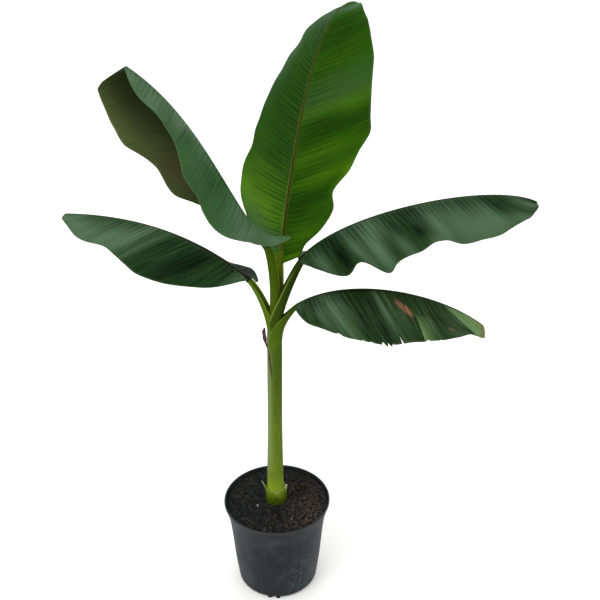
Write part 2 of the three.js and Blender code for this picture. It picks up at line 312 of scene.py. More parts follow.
@dataclass(frozen=True)
class Pattern:
    """An uneven pattern with its real size in millimetres along each axis."""

    pitch: tuple[float, float, float]
    cut: tuple[float, float] = (0.36, 0.64)  # where it starts and where it is at its strongest
    detail: float = 3.0
    rough: float = 0.55
    where: Where = Where.SURFACE

    def height(self, tree: NodeTree) -> Node:
        """Lay the pattern as it is, round 0.5.

        Args:
            tree: the material's node tree.

        Returns:
            The node that gives it.
        """
        if self.where is Where.SURFACE:
            source = add_node(tree, "ShaderNodeUVMap", uv_map="surface").outputs["UV"]
        else:
            source = add_node(tree, "ShaderNodeTexCoord").outputs["Object"]
        scaled = add_node(tree, "ShaderNodeMapping", {
            "Vector": source, "Scale": [1 / (size * MM) for size in self.pitch]})
        return add_node(tree, "ShaderNodeTexNoise", {
            "Vector": scaled, "Scale": 1.0, "Detail": self.detail, "Roughness": self.rough})

    def factor(self, tree: NodeTree, low: float = 0.0, high: float = 1.0,
               field: NodeSocket | None = None) -> Node:
        """Stretch the pattern between its two cuts.

        Args:
            tree: the material's node tree.
            low: what it is below the first cut.
            high: what it is above the second.
            field: an attribute whose edge the pattern frays, added to it, if any.

        Returns:
            The node that gives it.
        """
        height, middle = self.height(tree), 0.0
        if field is not None:
            height, middle = add_node(tree, "ShaderNodeMath", {0: field, 1: height}, operation="ADD"), 0.5
        return add_node(tree, "ShaderNodeMapRange", {
            0: height, 1: self.cut[0] + middle, 2: self.cut[1] + middle, 3: low, 4: high},
            interpolation_type="SMOOTHSTEP")


@dataclass(frozen=True)
class Coat:
    """A colour over the one below: everywhere, where a point attribute says, or in a pattern."""

    colour: str
    amount: float = 1.0
    field: str | None = None
    pattern: Pattern | None = None
    ragged: bool = False  # the pattern frays the field's edge instead of thinning all of it

    def over(self, tree: NodeTree, below: Any) -> NodeSocket:
        """Lay this coat over a colour.

        Args:
            tree: the material's node tree.
            below: colour or colour output below.

        Returns:
            The colour of both.
        """
        factors: list[Any] = [self.amount]
        if self.field is not None:
            factors.append(add_node(tree, "ShaderNodeAttribute", attribute_name=self.field).outputs["Fac"])
        if self.pattern is not None:
            factors.append(self.pattern.factor(tree, field=factors.pop() if self.ragged else None))
        while len(factors) > 1:
            both = {0: factors.pop(), 1: factors.pop()}
            factors.append(add_node(tree, "ShaderNodeMath", both, operation="MULTIPLY"))
        return add_node(tree, "ShaderNodeMix", {0: factors[0], 6: below, 7: linear(self.colour)},
                        data_type="RGBA", clamp_factor=True).outputs[2]


def dress(name: str, ground: str, coats: Sequence[Coat], grain: Pattern, relief_mm: float,
          roughness: tuple[float, float], ior: float, gloss: float = 0.5) -> Material:
    """Make a material of a ground colour, coats over it, and a fine relief.

    Args:
        name: the real material's name.
        ground: its hex colour below all coats.
        coats: the coats, lowest first.
        grain: the pattern of its relief, which its roughness follows too.
        relief_mm: the depth of that relief.
        roughness: in the hollows and on the crests.
        ior: index of refraction.
        gloss: the shader's specular level, lower where a bloom or grime dulls the skin.

    Returns:
        The material.
    """
    material = bpy.data.materials.new(name)
    material.use_nodes = True
    tree = material.node_tree
    tree.nodes.clear()
    colour: Any = linear(ground)
    for coat in coats:
        colour = coat.over(tree, colour)
    relief = add_node(tree, "ShaderNodeBump", {
        "Height": grain.height(tree), "Distance": relief_mm * MM, "Strength": 1.0})
    shader = add_node(tree, "ShaderNodeBsdfPrincipled", {
        "Base Color": colour, "Roughness": grain.factor(tree, *roughness), "IOR": ior,
        "Specular IOR Level": gloss, "Normal": relief})
    add_node(tree, "ShaderNodeOutputMaterial", {"Surface": shader})
    return material


@dataclass(frozen=True)
class LivingLamina:
    """Living leaf blade: a waxy skin over green flesh, ribbed by its side veins.

    It gives the eye a satin green with fine lines along the veins, and painted light and shade:
    yellow painted light where light passes, a grey wax bloom with a painted sky sheen on the parts
    turned to the sky, and painted shade in the folds.
    """

    name: str
    deep: str
    bright: str
    # painted shade in the folds, the dark spots and before the laps
    fold: str
    # grey of the wax bloom, also laid as a painted sky sheen
    bloom: str
    # under face: its ground kept dark as painted shade, and olive painted light where light comes through
    under_deep: str = "#2f3d20"
    under_bright: str = "#5d6a3c"
    under_brown: str = "#40331f"
    edge: str = "#7f8a62"
    scorch: str = "#8c6048"
    scorch_dark: str = "#3a1f14"
    roughness: float = 0.42
    gloss: float = 0.025
    # Side veins stand 0.5 to 2 mm apart; they are drawn somewhat coarser so that they show.
    lines: Pattern = Pattern((70, 2.6, 1), (0.38, 0.62), 2.0)
    mottle: Pattern = Pattern((45, 30, 1), (0.38, 0.68), 3.0)
    burn: Pattern = Pattern((20, 2.0, 1), (0.42, 0.62), 3.0, 0.7)
    char: Pattern = Pattern((16, 1.6, 1), (0.5, 0.58), 3.0, 0.7)

    def upper(self) -> Material:
        """Make the finish of the blade's upper face.

        Returns:
            The material.
        """
        coats = [
            # painted light: the bright colour where light passes through or falls full on the blade
            Coat(self.bright, field="painted_light"),
            Coat(self.fold, 0.25, pattern=self.mottle),
            Coat(self.bright, 0.16, pattern=self.lines),
            # painted shade in the folds, dark spots and lap shadows
            Coat(self.fold, field="fold"),
            # wax bloom with a painted sheen where the blade faces the sky
            Coat(self.bloom, field="bloom"),
            Coat(self.edge, field="margin"),
            Coat(self.scorch, field="scorch", pattern=self.burn, ragged=True),
            Coat(self.scorch_dark, 0.8, field="scorch", pattern=self.char),
        ]
        return dress(f"{self.name}_upper", self.deep, coats, self.lines, 0.08,
                     (self.roughness - 0.04, self.roughness + 0.08), 1.45, self.gloss)

    def lower(self) -> Material:
        """Make the finish of the blade's under face: duller, painted olive where light comes through.

        Returns:
            The material.
        """
        coats = [
            # painted light where light comes through the blade
            Coat(self.under_bright, field="through_light"),
            Coat(self.under_brown, field="brown"),
            Coat(self.under_deep, 0.3, pattern=self.lines),
            # wax bloom with a painted sheen on the under face
            Coat(self.bloom, field="bloom"),
            Coat(self.scorch, field="scorch", pattern=self.burn, ragged=True),
        ]
        return dress(f"{self.name}_under", self.under_deep, coats, self.lines, 0.1, (0.55, 0.65), 1.4, 0.06)


@dataclass(frozen=True)
class LivingSheath:
    """Living sheath and petiole skin: smooth, watery and slightly waxed, with pale dry lips.

    It gives the eye a soft sheen down its length and fine lengthwise streaks.
    """

    name: str
    low: str
    high: str
    streak: str
    lip: str
    # the channel's colour; on the stem, painted light on its lit side
    channel: str
    fresh: str = "#849d2b"  # where the skin is youngest, at the stem's foot
    roughness: float = 0.38
    gloss: float = 0.025
    lines: Pattern = Pattern((1.6, 55, 1), (0.42, 0.7))
    cloud: Pattern = Pattern((14, 60, 1), (0.4, 0.7))

    def skin(self) -> Material:
        """Make the finish, read from the piece's height, lip, channel and fresh attributes.
        On the stem, the channel colour and attribute are painted light on its lit side.

        Returns:
            The material.
        """
        coats = [
            Coat(self.high, field="height"),
            Coat(self.streak, 0.5, pattern=self.lines),
            Coat(self.high, 0.3, pattern=self.cloud),
            Coat(self.channel, field="channel"),
            Coat(self.fresh, field="fresh"),
            Coat(self.lip, field="lip"),
        ]
        return dress(self.name, self.low, coats, self.lines, 0.1,
                     (self.roughness, self.roughness + 0.14), 1.45, self.gloss)


@dataclass(frozen=True)
class DeadSheath:
    """Dead sheath: dried to paper, fibrous along its length, purple brown with pale fibres."""

    dark: str = "#2a181b"
    pale: str = "#6a4c42"
    fibres: Pattern = Pattern((0.9, 26, 1), (0.42, 0.68))

    def skin(self) -> Material:
        """Return the finish."""
        return dress("dried_sheath", self.dark, [Coat(self.pale, pattern=self.fibres)], self.fibres,
                     0.25, (0.75, 0.85), 1.45, 0.1)


@dataclass(frozen=True)
class CutSheath:
    """Old sheath cut down by hand: green flesh below, yellowing above, with a dry cream edge."""

    green: str = "#3a4a08"
    yellow: str = "#6c7c18"
    cream: str = "#a9b27c"
    # painted shade in the collar's front hollow
    hollow_shade: str = "#1a2404"
    rust: str = "#8f4a22"
    lines: Pattern = Pattern((1.3, 30, 1), (0.45, 0.7))
    # frays the edge of that painted shade
    shade_fray: Pattern = Pattern((9, 3, 1), (0.36, 0.78), 3.0)
    spots: Pattern = Pattern((4, 3, 1), (0.38, 0.7), 2.0)

    def skin(self) -> Material:
        """Make the finish, read from the piece's height, hollow (painted shade), rust and lip attributes.

        Returns:
            The material.
        """
        coats = [
            Coat(self.yellow, field="height"),
            Coat(self.green, 0.5, pattern=self.lines),
            # painted shade in the front hollow
            Coat(self.hollow_shade, 0.85, field="hollow_shade", pattern=self.shade_fray, ragged=True),
            Coat(self.rust, 0.8, field="rust", pattern=self.spots, ragged=True),
            Coat(self.cream, field="lip"),
        ]
        return dress("cut_sheath", self.green, coats, self.lines, 0.2, (0.5, 0.62), 1.45, 0.1)


@dataclass(frozen=True)
class MouldedPolypropylene:
    """Recycled polypropylene, injection moulded against a matt steel tool.

    It gives the eye a dull blue-grey black, faint upright flow streaks, scuffs, dried soil inside
    and a darker band round its foot.
    """

    body: str = "#15191d"
    streak: str = "#23292d"
    scuff: str = "#4c5150"
    # dried soil, also laid as a darker band round the outer foot
    soil: str = "#221d19"
    roughness: float = 0.5
    flow: Pattern = Pattern((5, 120, 1), (0.4, 0.7), 4.0)
    grain: Pattern = Pattern((0.9, 0.9, 0.9), (0.3, 0.7), 2.0, where=Where.PLACE)
    rubs: Pattern = Pattern((4, 4, 9), (0.5, 0.64), 5.0, 0.7, Where.PLACE)
    dust: Pattern = Pattern((38, 38, 38), (0.5, 0.75), 4.0, where=Where.PLACE)
    smear: Pattern = Pattern((14, 14, 10), (0.4, 0.56), 5.0, 0.65, Where.PLACE)

    def skin(self) -> Material:
        """Make the finish of the whole pot, read from its wear, soiled and lip attributes.
        The soiled attribute is dried soil inside and a darker band round the foot outside.

        Returns:
            The material.
        """
        coats = [
            Coat(self.streak, 0.6, pattern=self.flow),
            Coat(self.scuff, 0.25, pattern=self.dust),
            Coat(self.scuff, 0.9, field="wear", pattern=self.rubs),
            Coat(self.scuff, 0.35, field="lip"),
            # dried soil inside; outside, darker towards the bottom edge
            Coat(self.soil, field="soil_and_dark_foot", pattern=self.smear),
        ]
        return dress("moulded_polypropylene", self.body, coats, self.grain, 0.04,
                     (self.roughness - 0.05, self.roughness + 0.1), 1.49, 0.15)


@dataclass(frozen=True)
class LooseStuff:
    """What lies in the pot: damp peat compost, and the bark, coir, husk and perlite mixed in.

    It gives the eye crumbs of two colours with paler grit, and no gloss.
    """

    name: str
    ground: str
    second: str
    grit: str
    warm: str = "#4a3f38"  # where coir lies among it
    clod_mm: float = 7.0
    grit_mm: float = 1.6
    roughness: float = 0.88

    def skin(self) -> Material:
        """Make the finish, read from the piece's warm attribute where it has one.

        Returns:
            The material.
        """
        clods = Pattern((self.clod_mm,) * 3, (0.38, 0.66), 4.0, 0.65, Where.PLACE)
        grit = Pattern((self.grit_mm,) * 3, (0.6, 0.74), 3.0, 0.7, Where.PLACE)
        coats = [Coat(self.second, pattern=clods), Coat(self.warm, field="warm", pattern=clods),
                 Coat(self.grit, 0.6, pattern=grit)]
        return dress(self.name, self.ground, coats, grit, 0.35, (self.roughness, 0.97), 1.4, 0.1)


# ---------------------------------------------------------------- leaves
class Side(Enum):
    """Which half of a blade: as seen from its base towards its tip, upper face up."""

    LEFT = 1
    RIGHT = -1


@dataclass(frozen=True)
class Patch:
    """A soft spot on a half blade: centre and spread along it and across it, and its strength."""

    station: float
    across: float
    long: float
    wide: float
    amount: float

    def at(self, t: Array, u: Array) -> Array:
        """Return the spot's strength at stations t and shares u."""
        return self.amount * bump(t, self.station, self.long) * bump(u, self.across, self.wide)


@dataclass(frozen=True)
class Pleats:
    """The folds along a half blade's side veins."""

    spacing: float = 8.0  # millimetres along the rib
    depth: float = 1.1  # millimetres
    width: float = 1.8  # millimetres, half of one fold
    reach: float = 0.75  # share of the half's width that the longest fold runs
    bend: float = 12.0  # millimetres that a fold curves towards the tip by the margin
    dark: float = 0.8  # how dark the folds are painted: painted shade in their valleys
    lean: Sequence[float] = (0.0, 0.0)  # millimetres that it leans towards the tip, along the rib

    def slant(self, t: Array, u: Array) -> Array:
        """Return how far towards the tip a side vein has run, in metres, at stations t and shares u."""
        return (along(self.lean, t) * u + self.bend * u**2) * MM


@dataclass(frozen=True)
class Overlap:
    """A torn blade lapping over itself: a raised edge, painted shadow before it, painted light on it."""

    station: float
    slant: float = 0.0  # how far the edge runs towards the tip by the margin, in stations
    inner: float = 0.0  # share across where it starts
    lift: float = 3.0  # millimetres
    back: float = 0.08  # stations over which it settles
    shade: float = 0.9  # how dark the blade is before the edge
    painted_light: float = 0.0  # how much paler the lap is, as painted light
    end: float = 1.2  # station where the lap ends

    def edge(self, t: Array, u: Array) -> tuple[Array, Array]:
        """Return how far past the edge each point lies, in stations, and how much of the edge is there."""
        return t - self.station - self.slant * u, smooth(self.inner, self.inner + 0.12, u)

    def rise(self, t: Array, u: Array) -> Array:
        """Return the lap's height in metres."""
        past, there = self.edge(t, u)
        return self.lift * MM * there * smooth(0, 0.008, past) * np.exp(-np.maximum(past, 0) / self.back)

    def shadow(self, t: Array, u: Array) -> Array:
        """Return how deep in the lap's shadow each point lies."""
        past, there = self.edge(t, u)
        return self.shade * there * np.where(past < 0.002, np.exp(np.minimum(past, 0) / 0.018), 0)

    def light(self, t: Array, u: Array) -> Array:
        """Return how much paler painted light makes the lap at each point."""
        past, there = self.edge(t, u)
        return self.painted_light * there * smooth(0, 0.008, past) * (1 - smooth(self.end, self.end + 0.05, t))


@dataclass(frozen=True)
class HalfBlade:
    """One half of a blade: its outline, droop, waves and finish."""

    widths: Sequence[float]  # millimetres
    inner: Sequence[float] = (20, 20)  # droop by the rib, in degrees
    outer: Sequence[float] = (50, 50)  # droop by the margin
    lobe: float = 15  # how far its foot hangs back past the rib's, in millimetres
    sweep: float | Sequence[float] = 0.45  # how far its veins run forward, over its width
    base_round: float = 0.12  # stations over which its foot rounds off
    tip_round: float = 0.25  # and its tip
    ruffles: Sequence[tuple[float, float, float]] = ()  # station, half length, height at the margin in mm
    nicks: Sequence[tuple[float, float, float]] = ()  # station, half length, depth in mm
    laps: Sequence[Overlap] = ()
    pleats: Pleats = Pleats()
    # painted light: spots painted brighter where light passes through or falls on the blade
    painted_light: Sequence[Patch] = ()
    # wax bloom with a painted sheen: spots painted grey where the blade reflects the sky
    bloom: Sequence[Patch] = ()
    # painted shade: spots painted darker where the blade's waves turn from the light
    dark: Sequence[Patch] = ()
    scorch: Sequence[Patch] = ()
    # painted light: spots on the under face painted olive where light comes through
    through_light: Sequence[Patch] = ()
    brown: Sequence[Patch] = ()
    bloom_base: float = 0.0  # wax bloom and painted sheen all over
    margin: float = 0.15  # how pale the very margin is
    frayed: float = 1.0  # station where the dried tip starts
    fray_long: float = 0.12  # stations over which it gets to its full strength
    fray: float = 0.55  # that strength


@dataclass(frozen=True)
class Petiole:
    """A leaf's stalk, from its sheath's foot on the stem up to its blade.

    The sizes are read evenly from the foot to the blade.
    """

    foot: Sequence[float]  # where its sheath starts inside the stem, in millimetres
    points: Sequence[Sequence[float]]  # control points between the stem and the rib
    radii: Sequence[float]  # millimetres
    wrap: Sequence[float]  # half angle that its section covers, in degrees
    wall: Sequence[float] = (0.1, 0.15, 0.3, 0.5, 0.7, 0.75)  # thickness at the keel over the radius
    leaves: float = 0.4  # share of its length where it leaves the stem


@dataclass
class Leaf:
    """One leaf: petiole, midrib and two half blades along one rib curve."""

    number: int
    rib: Sequence[Sequence[float]]  # the rib curve's control points, in millimetres
    rib_base: float  # the rib's radius at the blade's foot, in millimetres
    petiole: Petiole
    left: HalfBlade
    right: HalfBlade
    lamina: LivingLamina
    stalk: LivingSheath
    rib_skin: LivingSheath
    roll: Sequence[float] = (0, 0)  # turn of the blade about its rib, in degrees
    slot: str = "leaf"
    stations: int = 440  # points along a half blade
    veins: int = 22  # points across it
    first: float = 0.004  # share of the rib where the blade starts
    last: float = 0.985  # and ends
    half_thickness: float = 0.28 * MM
    rib_tip: float = 1.0  # the rib's radius at its tip, in millimetres
    lobe_reach: float = 0.18  # stations over which the foot of a half blade hangs back
    least_width: float = 0.6  # millimetres, where a half blade runs out
    swell_pitch: float = 60  # millimetres between the slow waves of a blade
    swell_height: float = 2.0  # millimetres, at the margin
    lip_share: float = 0.16  # thickness of a channel's lips over its radius
    lip_most: float = 0.9  # the most that it gets, in millimetres
    seat: tuple[float, float] = (0.86, 0.3)  # where a half blade leaves the rib: out, up, over its radius
    midrib_points: int = 160  # points along the midrib
    midrib_wrap: tuple[float, float] = (104, 84)  # half angle that it covers, at its foot and tip
    midrib_wall: tuple[float, float] = (0.75, 0.9)  # thickness at its keel over its radius, foot and tip
    petiole_points: int = 110  # points along the petiole

    def rib_radius(self, t: Array) -> Array:
        """Return the rib's radius in metres at t."""
        return (self.rib_base + (self.rib_tip - self.rib_base) * np.clip(t, 0, 1) ** 0.75) * MM

    def frame(self, at: Array, tangent: Array, roll: Array | float = 0.0) -> LimbFrame:
        """Work out which way a limb of this leaf faces.

        Args:
            at: points along it.
            tangent: its direction at each.
            roll: turn about the limb in degrees.

        Returns:
            Points, tangents, sides and upper normals.
        """
        heading = math.atan2(self.rib[3][1] - self.rib[0][1], self.rib[3][0] - self.rib[0][0])
        side = np.array([-math.sin(heading), math.cos(heading), 0.0])
        side = unit(side - tangent * (tangent @ side)[:, None])
        side = turn(side, tangent, np.broadcast_to(roll, (len(at),)))
        return at, tangent, side, np.cross(tangent, side)

    def rib_frame(self, t: Array) -> LimbFrame:
        """Return the rib's frame at t."""
        return self.frame(*cubic(self.rib, t), along(self.roll, t))

    def middle_surface(self, half: HalfBlade, side: Side, t: Array, u: Array) -> tuple[Array, Array, Array]:
        """Lay a half blade's veins out from the rib to the margin.

        Args:
            half: the half blade.
            side: which half it is.
            t: stations along the rib.
            u: shares across the half.

        Returns:
            Points by station and share, the width at each station, and the upward normals.
        """
        at, tangent, across, up = self.rib_frame(t)
        base = 1 - np.minimum(t / half.base_round, 1)
        tip = 1 - np.minimum((1 - t) / half.tip_round, 1)
        ends = np.sqrt(1 - base**2) * np.sqrt(np.maximum(0, 1 - tip**2))
        width = along(half.widths, t) * ends
        for station, long, depth in half.nicks:
            width = width - depth * bump(t, station, long)
        width = np.maximum(width, self.least_width) * MM
        inner, outer = along(half.inner, t), along(half.outer, t)
        angle = np.radians(inner[:, None] + (outer - inner)[:, None] * u)
        middle = np.concatenate([angle[:, :1], (angle[:, 1:] + angle[:, :-1]) / 2], axis=1)[..., None]
        way = side.value * across[:, None, :] * np.cos(middle) - up[:, None, :] * np.sin(middle)
        run = np.cumsum(way * np.diff(u, prepend=0.0)[None, :, None], axis=1) * width[:, None, None]
        lip = side.value * across * self.seat[0] + up * self.seat[1]
        start = at[:, None, :] + (lip * self.rib_radius(t)[:, None])[:, None, :]
        near_base = bump(t, 0, self.lobe_reach)
        share = (width / width.max())[:, None]
        sweep = along(np.atleast_1d(half.sweep), t) if np.ndim(half.sweep) else half.sweep
        forward = (sweep * width * (1 - near_base))[:, None] * u
        forward = forward - half.lobe * MM * near_base[:, None] * share * u**1.3
        lift = sum((h * bump(t, s, l) for s, l, h in half.ruffles), np.zeros_like(t))
        rise = lift[:, None] * MM * u**1.6
        points = start + run + forward[..., None] * tangent[:, None, :] + rise[..., None] * up[:, None, :]
        return points, width, self.normals(points, side)

    @staticmethod
    def normals(points: Array, side: Side) -> Array:
        """Work out the upward normals of a grid of points by station and share.

        Args:
            points: the grid.
            side: which half of the blade it is.

        Returns:
            A unit vector for each point.
        """
        down = np.gradient(points, axis=0)
        out = np.gradient(points, axis=1)
        return unit(np.cross(down, out) * side.value)

    @staticmethod
    def folds(pleats: Pleats, place: Array, u: Array, rng: np.random.Generator) -> Array:
        """Strew the folds of the side veins along the rib.

        Args:
            pleats: what the folds are like.
            place: where each point's vein leaves the rib, in metres, by station and share.
            u: shares across.
            rng: source of their uneven spacing and strength.

        Returns:
            How deep in a fold each point lies, from 0 to 1.
        """
        total = np.zeros_like(place)
        centre = float(place.min())
        while centre < place.max():
            centre += pleats.spacing * MM * rng.uniform(0.75, 1.25)
            strength = rng.uniform(0.5, 1.0)
            reach = pleats.reach * rng.uniform(0.45, 1.0)
            spread = pleats.width * MM * rng.uniform(0.75, 1.25)
            fade = np.clip(1 - (u / reach) ** 2, 0, 1) * smooth(0.0, 0.02, u)
            total += strength * bump(place, centre, spread) * fade
        return np.clip(total, 0, 1)

    def blade(self, half: HalfBlade, side: Side) -> Object:
        """Build one half blade as a thin closed skin.

        Args:
            half: the half blade.
            side: which half it is.

        Returns:
            The piece.
        """
        rng = np.random.default_rng(100 * self.number + side.value)
        even = np.linspace(0, 1, self.stations)
        eased = 0.75 * even + 0.25 * (0.5 - 0.5 * np.cos(np.pi * even))
        t = self.first + (self.last - self.first) * eased
        u = np.linspace(0, 1, self.veins) ** 0.9
        points, width, normal = self.middle_surface(half, side, t, u)
        rib, _ = cubic(self.rib, t)
        s = path_length(rib)
        grid_t, grid_u = np.meshgrid(t, u, indexing="ij")
        place = s[:, None] - half.pleats.slant(grid_t, grid_u)
        fold = self.folds(half.pleats, place, u, rng)
        swell = waves(place, rng, self.swell_pitch * MM) * grid_u**1.5 * self.swell_height * MM
        height = swell - fold * half.pleats.depth * MM
        for lap in half.laps:
            height = height + lap.rise(grid_t, grid_u)
        points = points + normal * (height * smooth(0, 0.02, grid_u) * smooth(0, 0.02, grid_t))[..., None]
        thick = self.normals(points, side) * self.half_thickness
        return build_mesh(
            f"blade_{self.number}_{side.name.lower()}", np.stack([points + thick, points - thick]),
            skin_faces(*grid_t.shape, flip=side is Side.RIGHT), [self.lamina.upper(), self.lamina.lower()],
            slots=(0, 1, 0), fields=self.tints(half, grid_t, grid_u, np.interp(place, s, t), fold),
            uv=(grid_u * width[:, None], place))

    @staticmethod
    def tints(half: HalfBlade, t: Array, u: Array, vein: Array, fold: Array) -> dict[str, Array]:
        """Work out the finish attributes of a half blade, its painted light and shade among them.

        Args:
            half: the half blade.
            t: station of each point.
            u: share across of each point.
            vein: station where each point's side vein leaves the rib.
            fold: how deep in a fold each point lies.

        Returns:
            Point attributes by name.
        """
        made = {key: sum((patch.at(vein, u) for patch in getattr(half, key)), np.zeros_like(t))
                for key in ("painted_light", "bloom", "dark", "scorch", "through_light", "brown")}
        # painted shadow before each lap's edge and painted light on the lap beyond it
        for lap in half.laps:
            made["dark"] += lap.shadow(t, u)
            made["painted_light"] += lap.light(t, u)
        made["bloom"] += half.bloom_base
        made["scorch"] += half.fray * smooth(half.frayed, half.frayed + half.fray_long, t)
        made = {key: np.clip(value, 0, 1) for key, value in made.items()}
        dark = made.pop("dark")
        made["painted_light"] *= 1 - dark
        made["bloom"] *= (1 - dark) * (1 - 0.7 * fold)
        # painted shade: the folds, the dark spots and the laps' shadows
        made["fold"] = np.clip(fold * half.pleats.dark + dark, 0, 0.95)
        made["margin"] = half.margin * smooth(0.965, 0.995, u)
        return made

    def channelled(self, name: str, frame: LimbFrame, radius: Array, wrap: Array, wall: Array,
                   finish: LivingSheath, height: Array, sides: int = 40) -> Object:
        """Sweep a crescent section, open above, along a limb.

        Args:
            name: the piece's name.
            frame: points, tangents, sides and upper normals along the limb.
            radius: outer radius at each.
            wrap: half angle that the section covers, in degrees.
            wall: thickness at the keel as a share of the radius.
            finish: its skin.
            height: attribute from 0 at the foot to 1 at the tip.
            sides: points round the outside.

        Returns:
            The piece.
        """
        at, _, across, up = frame
        a = np.linspace(-1, 1, sides) * np.radians(wrap)[:, None]
        outward = (across[:, None, :] * np.sin(a)[..., None] - up[:, None, :] * np.cos(a)[..., None])
        lip_wall = np.minimum(self.lip_share * radius, self.lip_most * MM)
        keel_wall = wall * radius
        share = np.cos(np.linspace(-1, 1, sides) * math.pi / 2) ** 1.2
        inner = radius[:, None] - (lip_wall[:, None] + (keel_wall - lip_wall)[:, None] * share)
        outside = at[:, None, :] + outward * radius[:, None, None]
        inside = at[:, None, :] + outward * inner[..., None]
        rings = np.concatenate([outside, inside[:, ::-1]], axis=1)
        rows, columns = rings.shape[:2]
        pair = np.arange(sides - 1)
        foot = np.stack([pair, pair + 1, columns - 2 - pair, columns - 1 - pair], -1)
        edge = np.abs(np.linspace(-1, 1, sides))
        lip = smooth(0.86, 0.97, edge)
        height = height[:, None]
        fading = smooth(0.0, 0.07, height) * (1 - smooth(0.7, 0.97, height))
        fields = {"height": height, "lip": fading * np.concatenate([lip, lip[::-1]]),
                  "channel": fading * smooth(0.02, 0.12, height)
                  * np.concatenate([np.zeros(sides), 1 - smooth(0.7, 0.9, edge)])}
        around = np.concatenate([np.linspace(-1, 1, sides), np.linspace(1, -1, sides) + 3])
        faces = [*ring_faces(rows, columns), foot[:, ::-1], foot + (rows - 1) * columns]
        return build_mesh(name, rings, faces, [finish.skin()], fields=fields,
                          uv=(around * radius[:, None] * 2, path_length(at)[:, None]))

    def midrib(self) -> Object:
        """Build the midrib: a keel below and a narrow channel above, fading towards the tip.

        Returns:
            The piece.
        """
        t = np.linspace(0.0, self.last, self.midrib_points)
        swell = (self.petiole.radii[-1] - self.rib_base) * (1 - smooth(0.0, 0.16, t)) * MM
        wrap, wall = (np.interp(t, [0, 1], ends) for ends in (self.midrib_wrap, self.midrib_wall))
        return self.channelled(f"midrib_{self.number}", self.rib_frame(t), self.rib_radius(t) + swell,
                               wrap, wall, self.rib_skin, t)

    def stalk_piece(self) -> Object:
        """Build the petiole, whose sheath clasps the younger leaves' at its foot.

        Returns:
            The piece.
        """
        k = self.petiole
        q = np.linspace(0.0, 1.0, self.petiole_points)
        rise, _ = cubic([*k.points, self.rib[0]], np.clip((q - k.leaves) / (1 - k.leaves), 0, 1))
        start, way = cubic([*k.points, self.rib[0]], np.zeros(1))
        foot = np.asarray(k.foot, float) * MM
        reach = np.linalg.norm(start[0] - foot) / 3
        low, _ = cubic(np.array([foot, foot + [0, 0, reach], start[0] - way[0] * reach, start[0]]) / MM,
                       np.clip(q / k.leaves, 0, 1))
        at = np.where((q < k.leaves)[:, None], low, rise)
        tangent = unit(np.gradient(at, axis=0))
        _, end = cubic(self.rib, np.zeros(1))
        tangent[-1] = end[0]
        return self.channelled(f"petiole_{self.number}", self.frame(at, tangent), along(k.radii, q) * MM,
                               along(k.wrap, q), along(k.wall, q), self.stalk, q)

    def build(self) -> list[Object]:
        """Build the leaf's pieces and tie each to its CAD nodes.

        Returns:
            The pieces.
        """
        made = []
        for side, half in ((Side.LEFT, self.left), (Side.RIGHT, self.right)):
            node = f"blade_{self.number}_{side.name.lower()}"
            made.append(settle(self.blade(half, side), self.slot, node))
        made.append(settle(self.midrib(), "midrib", f"midrib_{self.number}"))
        made.append(settle(self.stalk_piece(), "stem", f"petiole_{self.number}"))
        return made


def settle(piece: Object, slot: str, *nodes: str) -> Object:
    """Tie a finished piece to the plant's body.

    Args:
        piece: the piece, in place.
        slot: the material slot that it takes its finish from; not used.
        nodes: the CAD nodes that it stands for.

    Returns:
        The piece.
    """
    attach(piece, "root")
    if nodes:
        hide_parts(*nodes)
    LOG.info("%s: %d faces", piece.name, len(piece.data.polygons))
    return piece


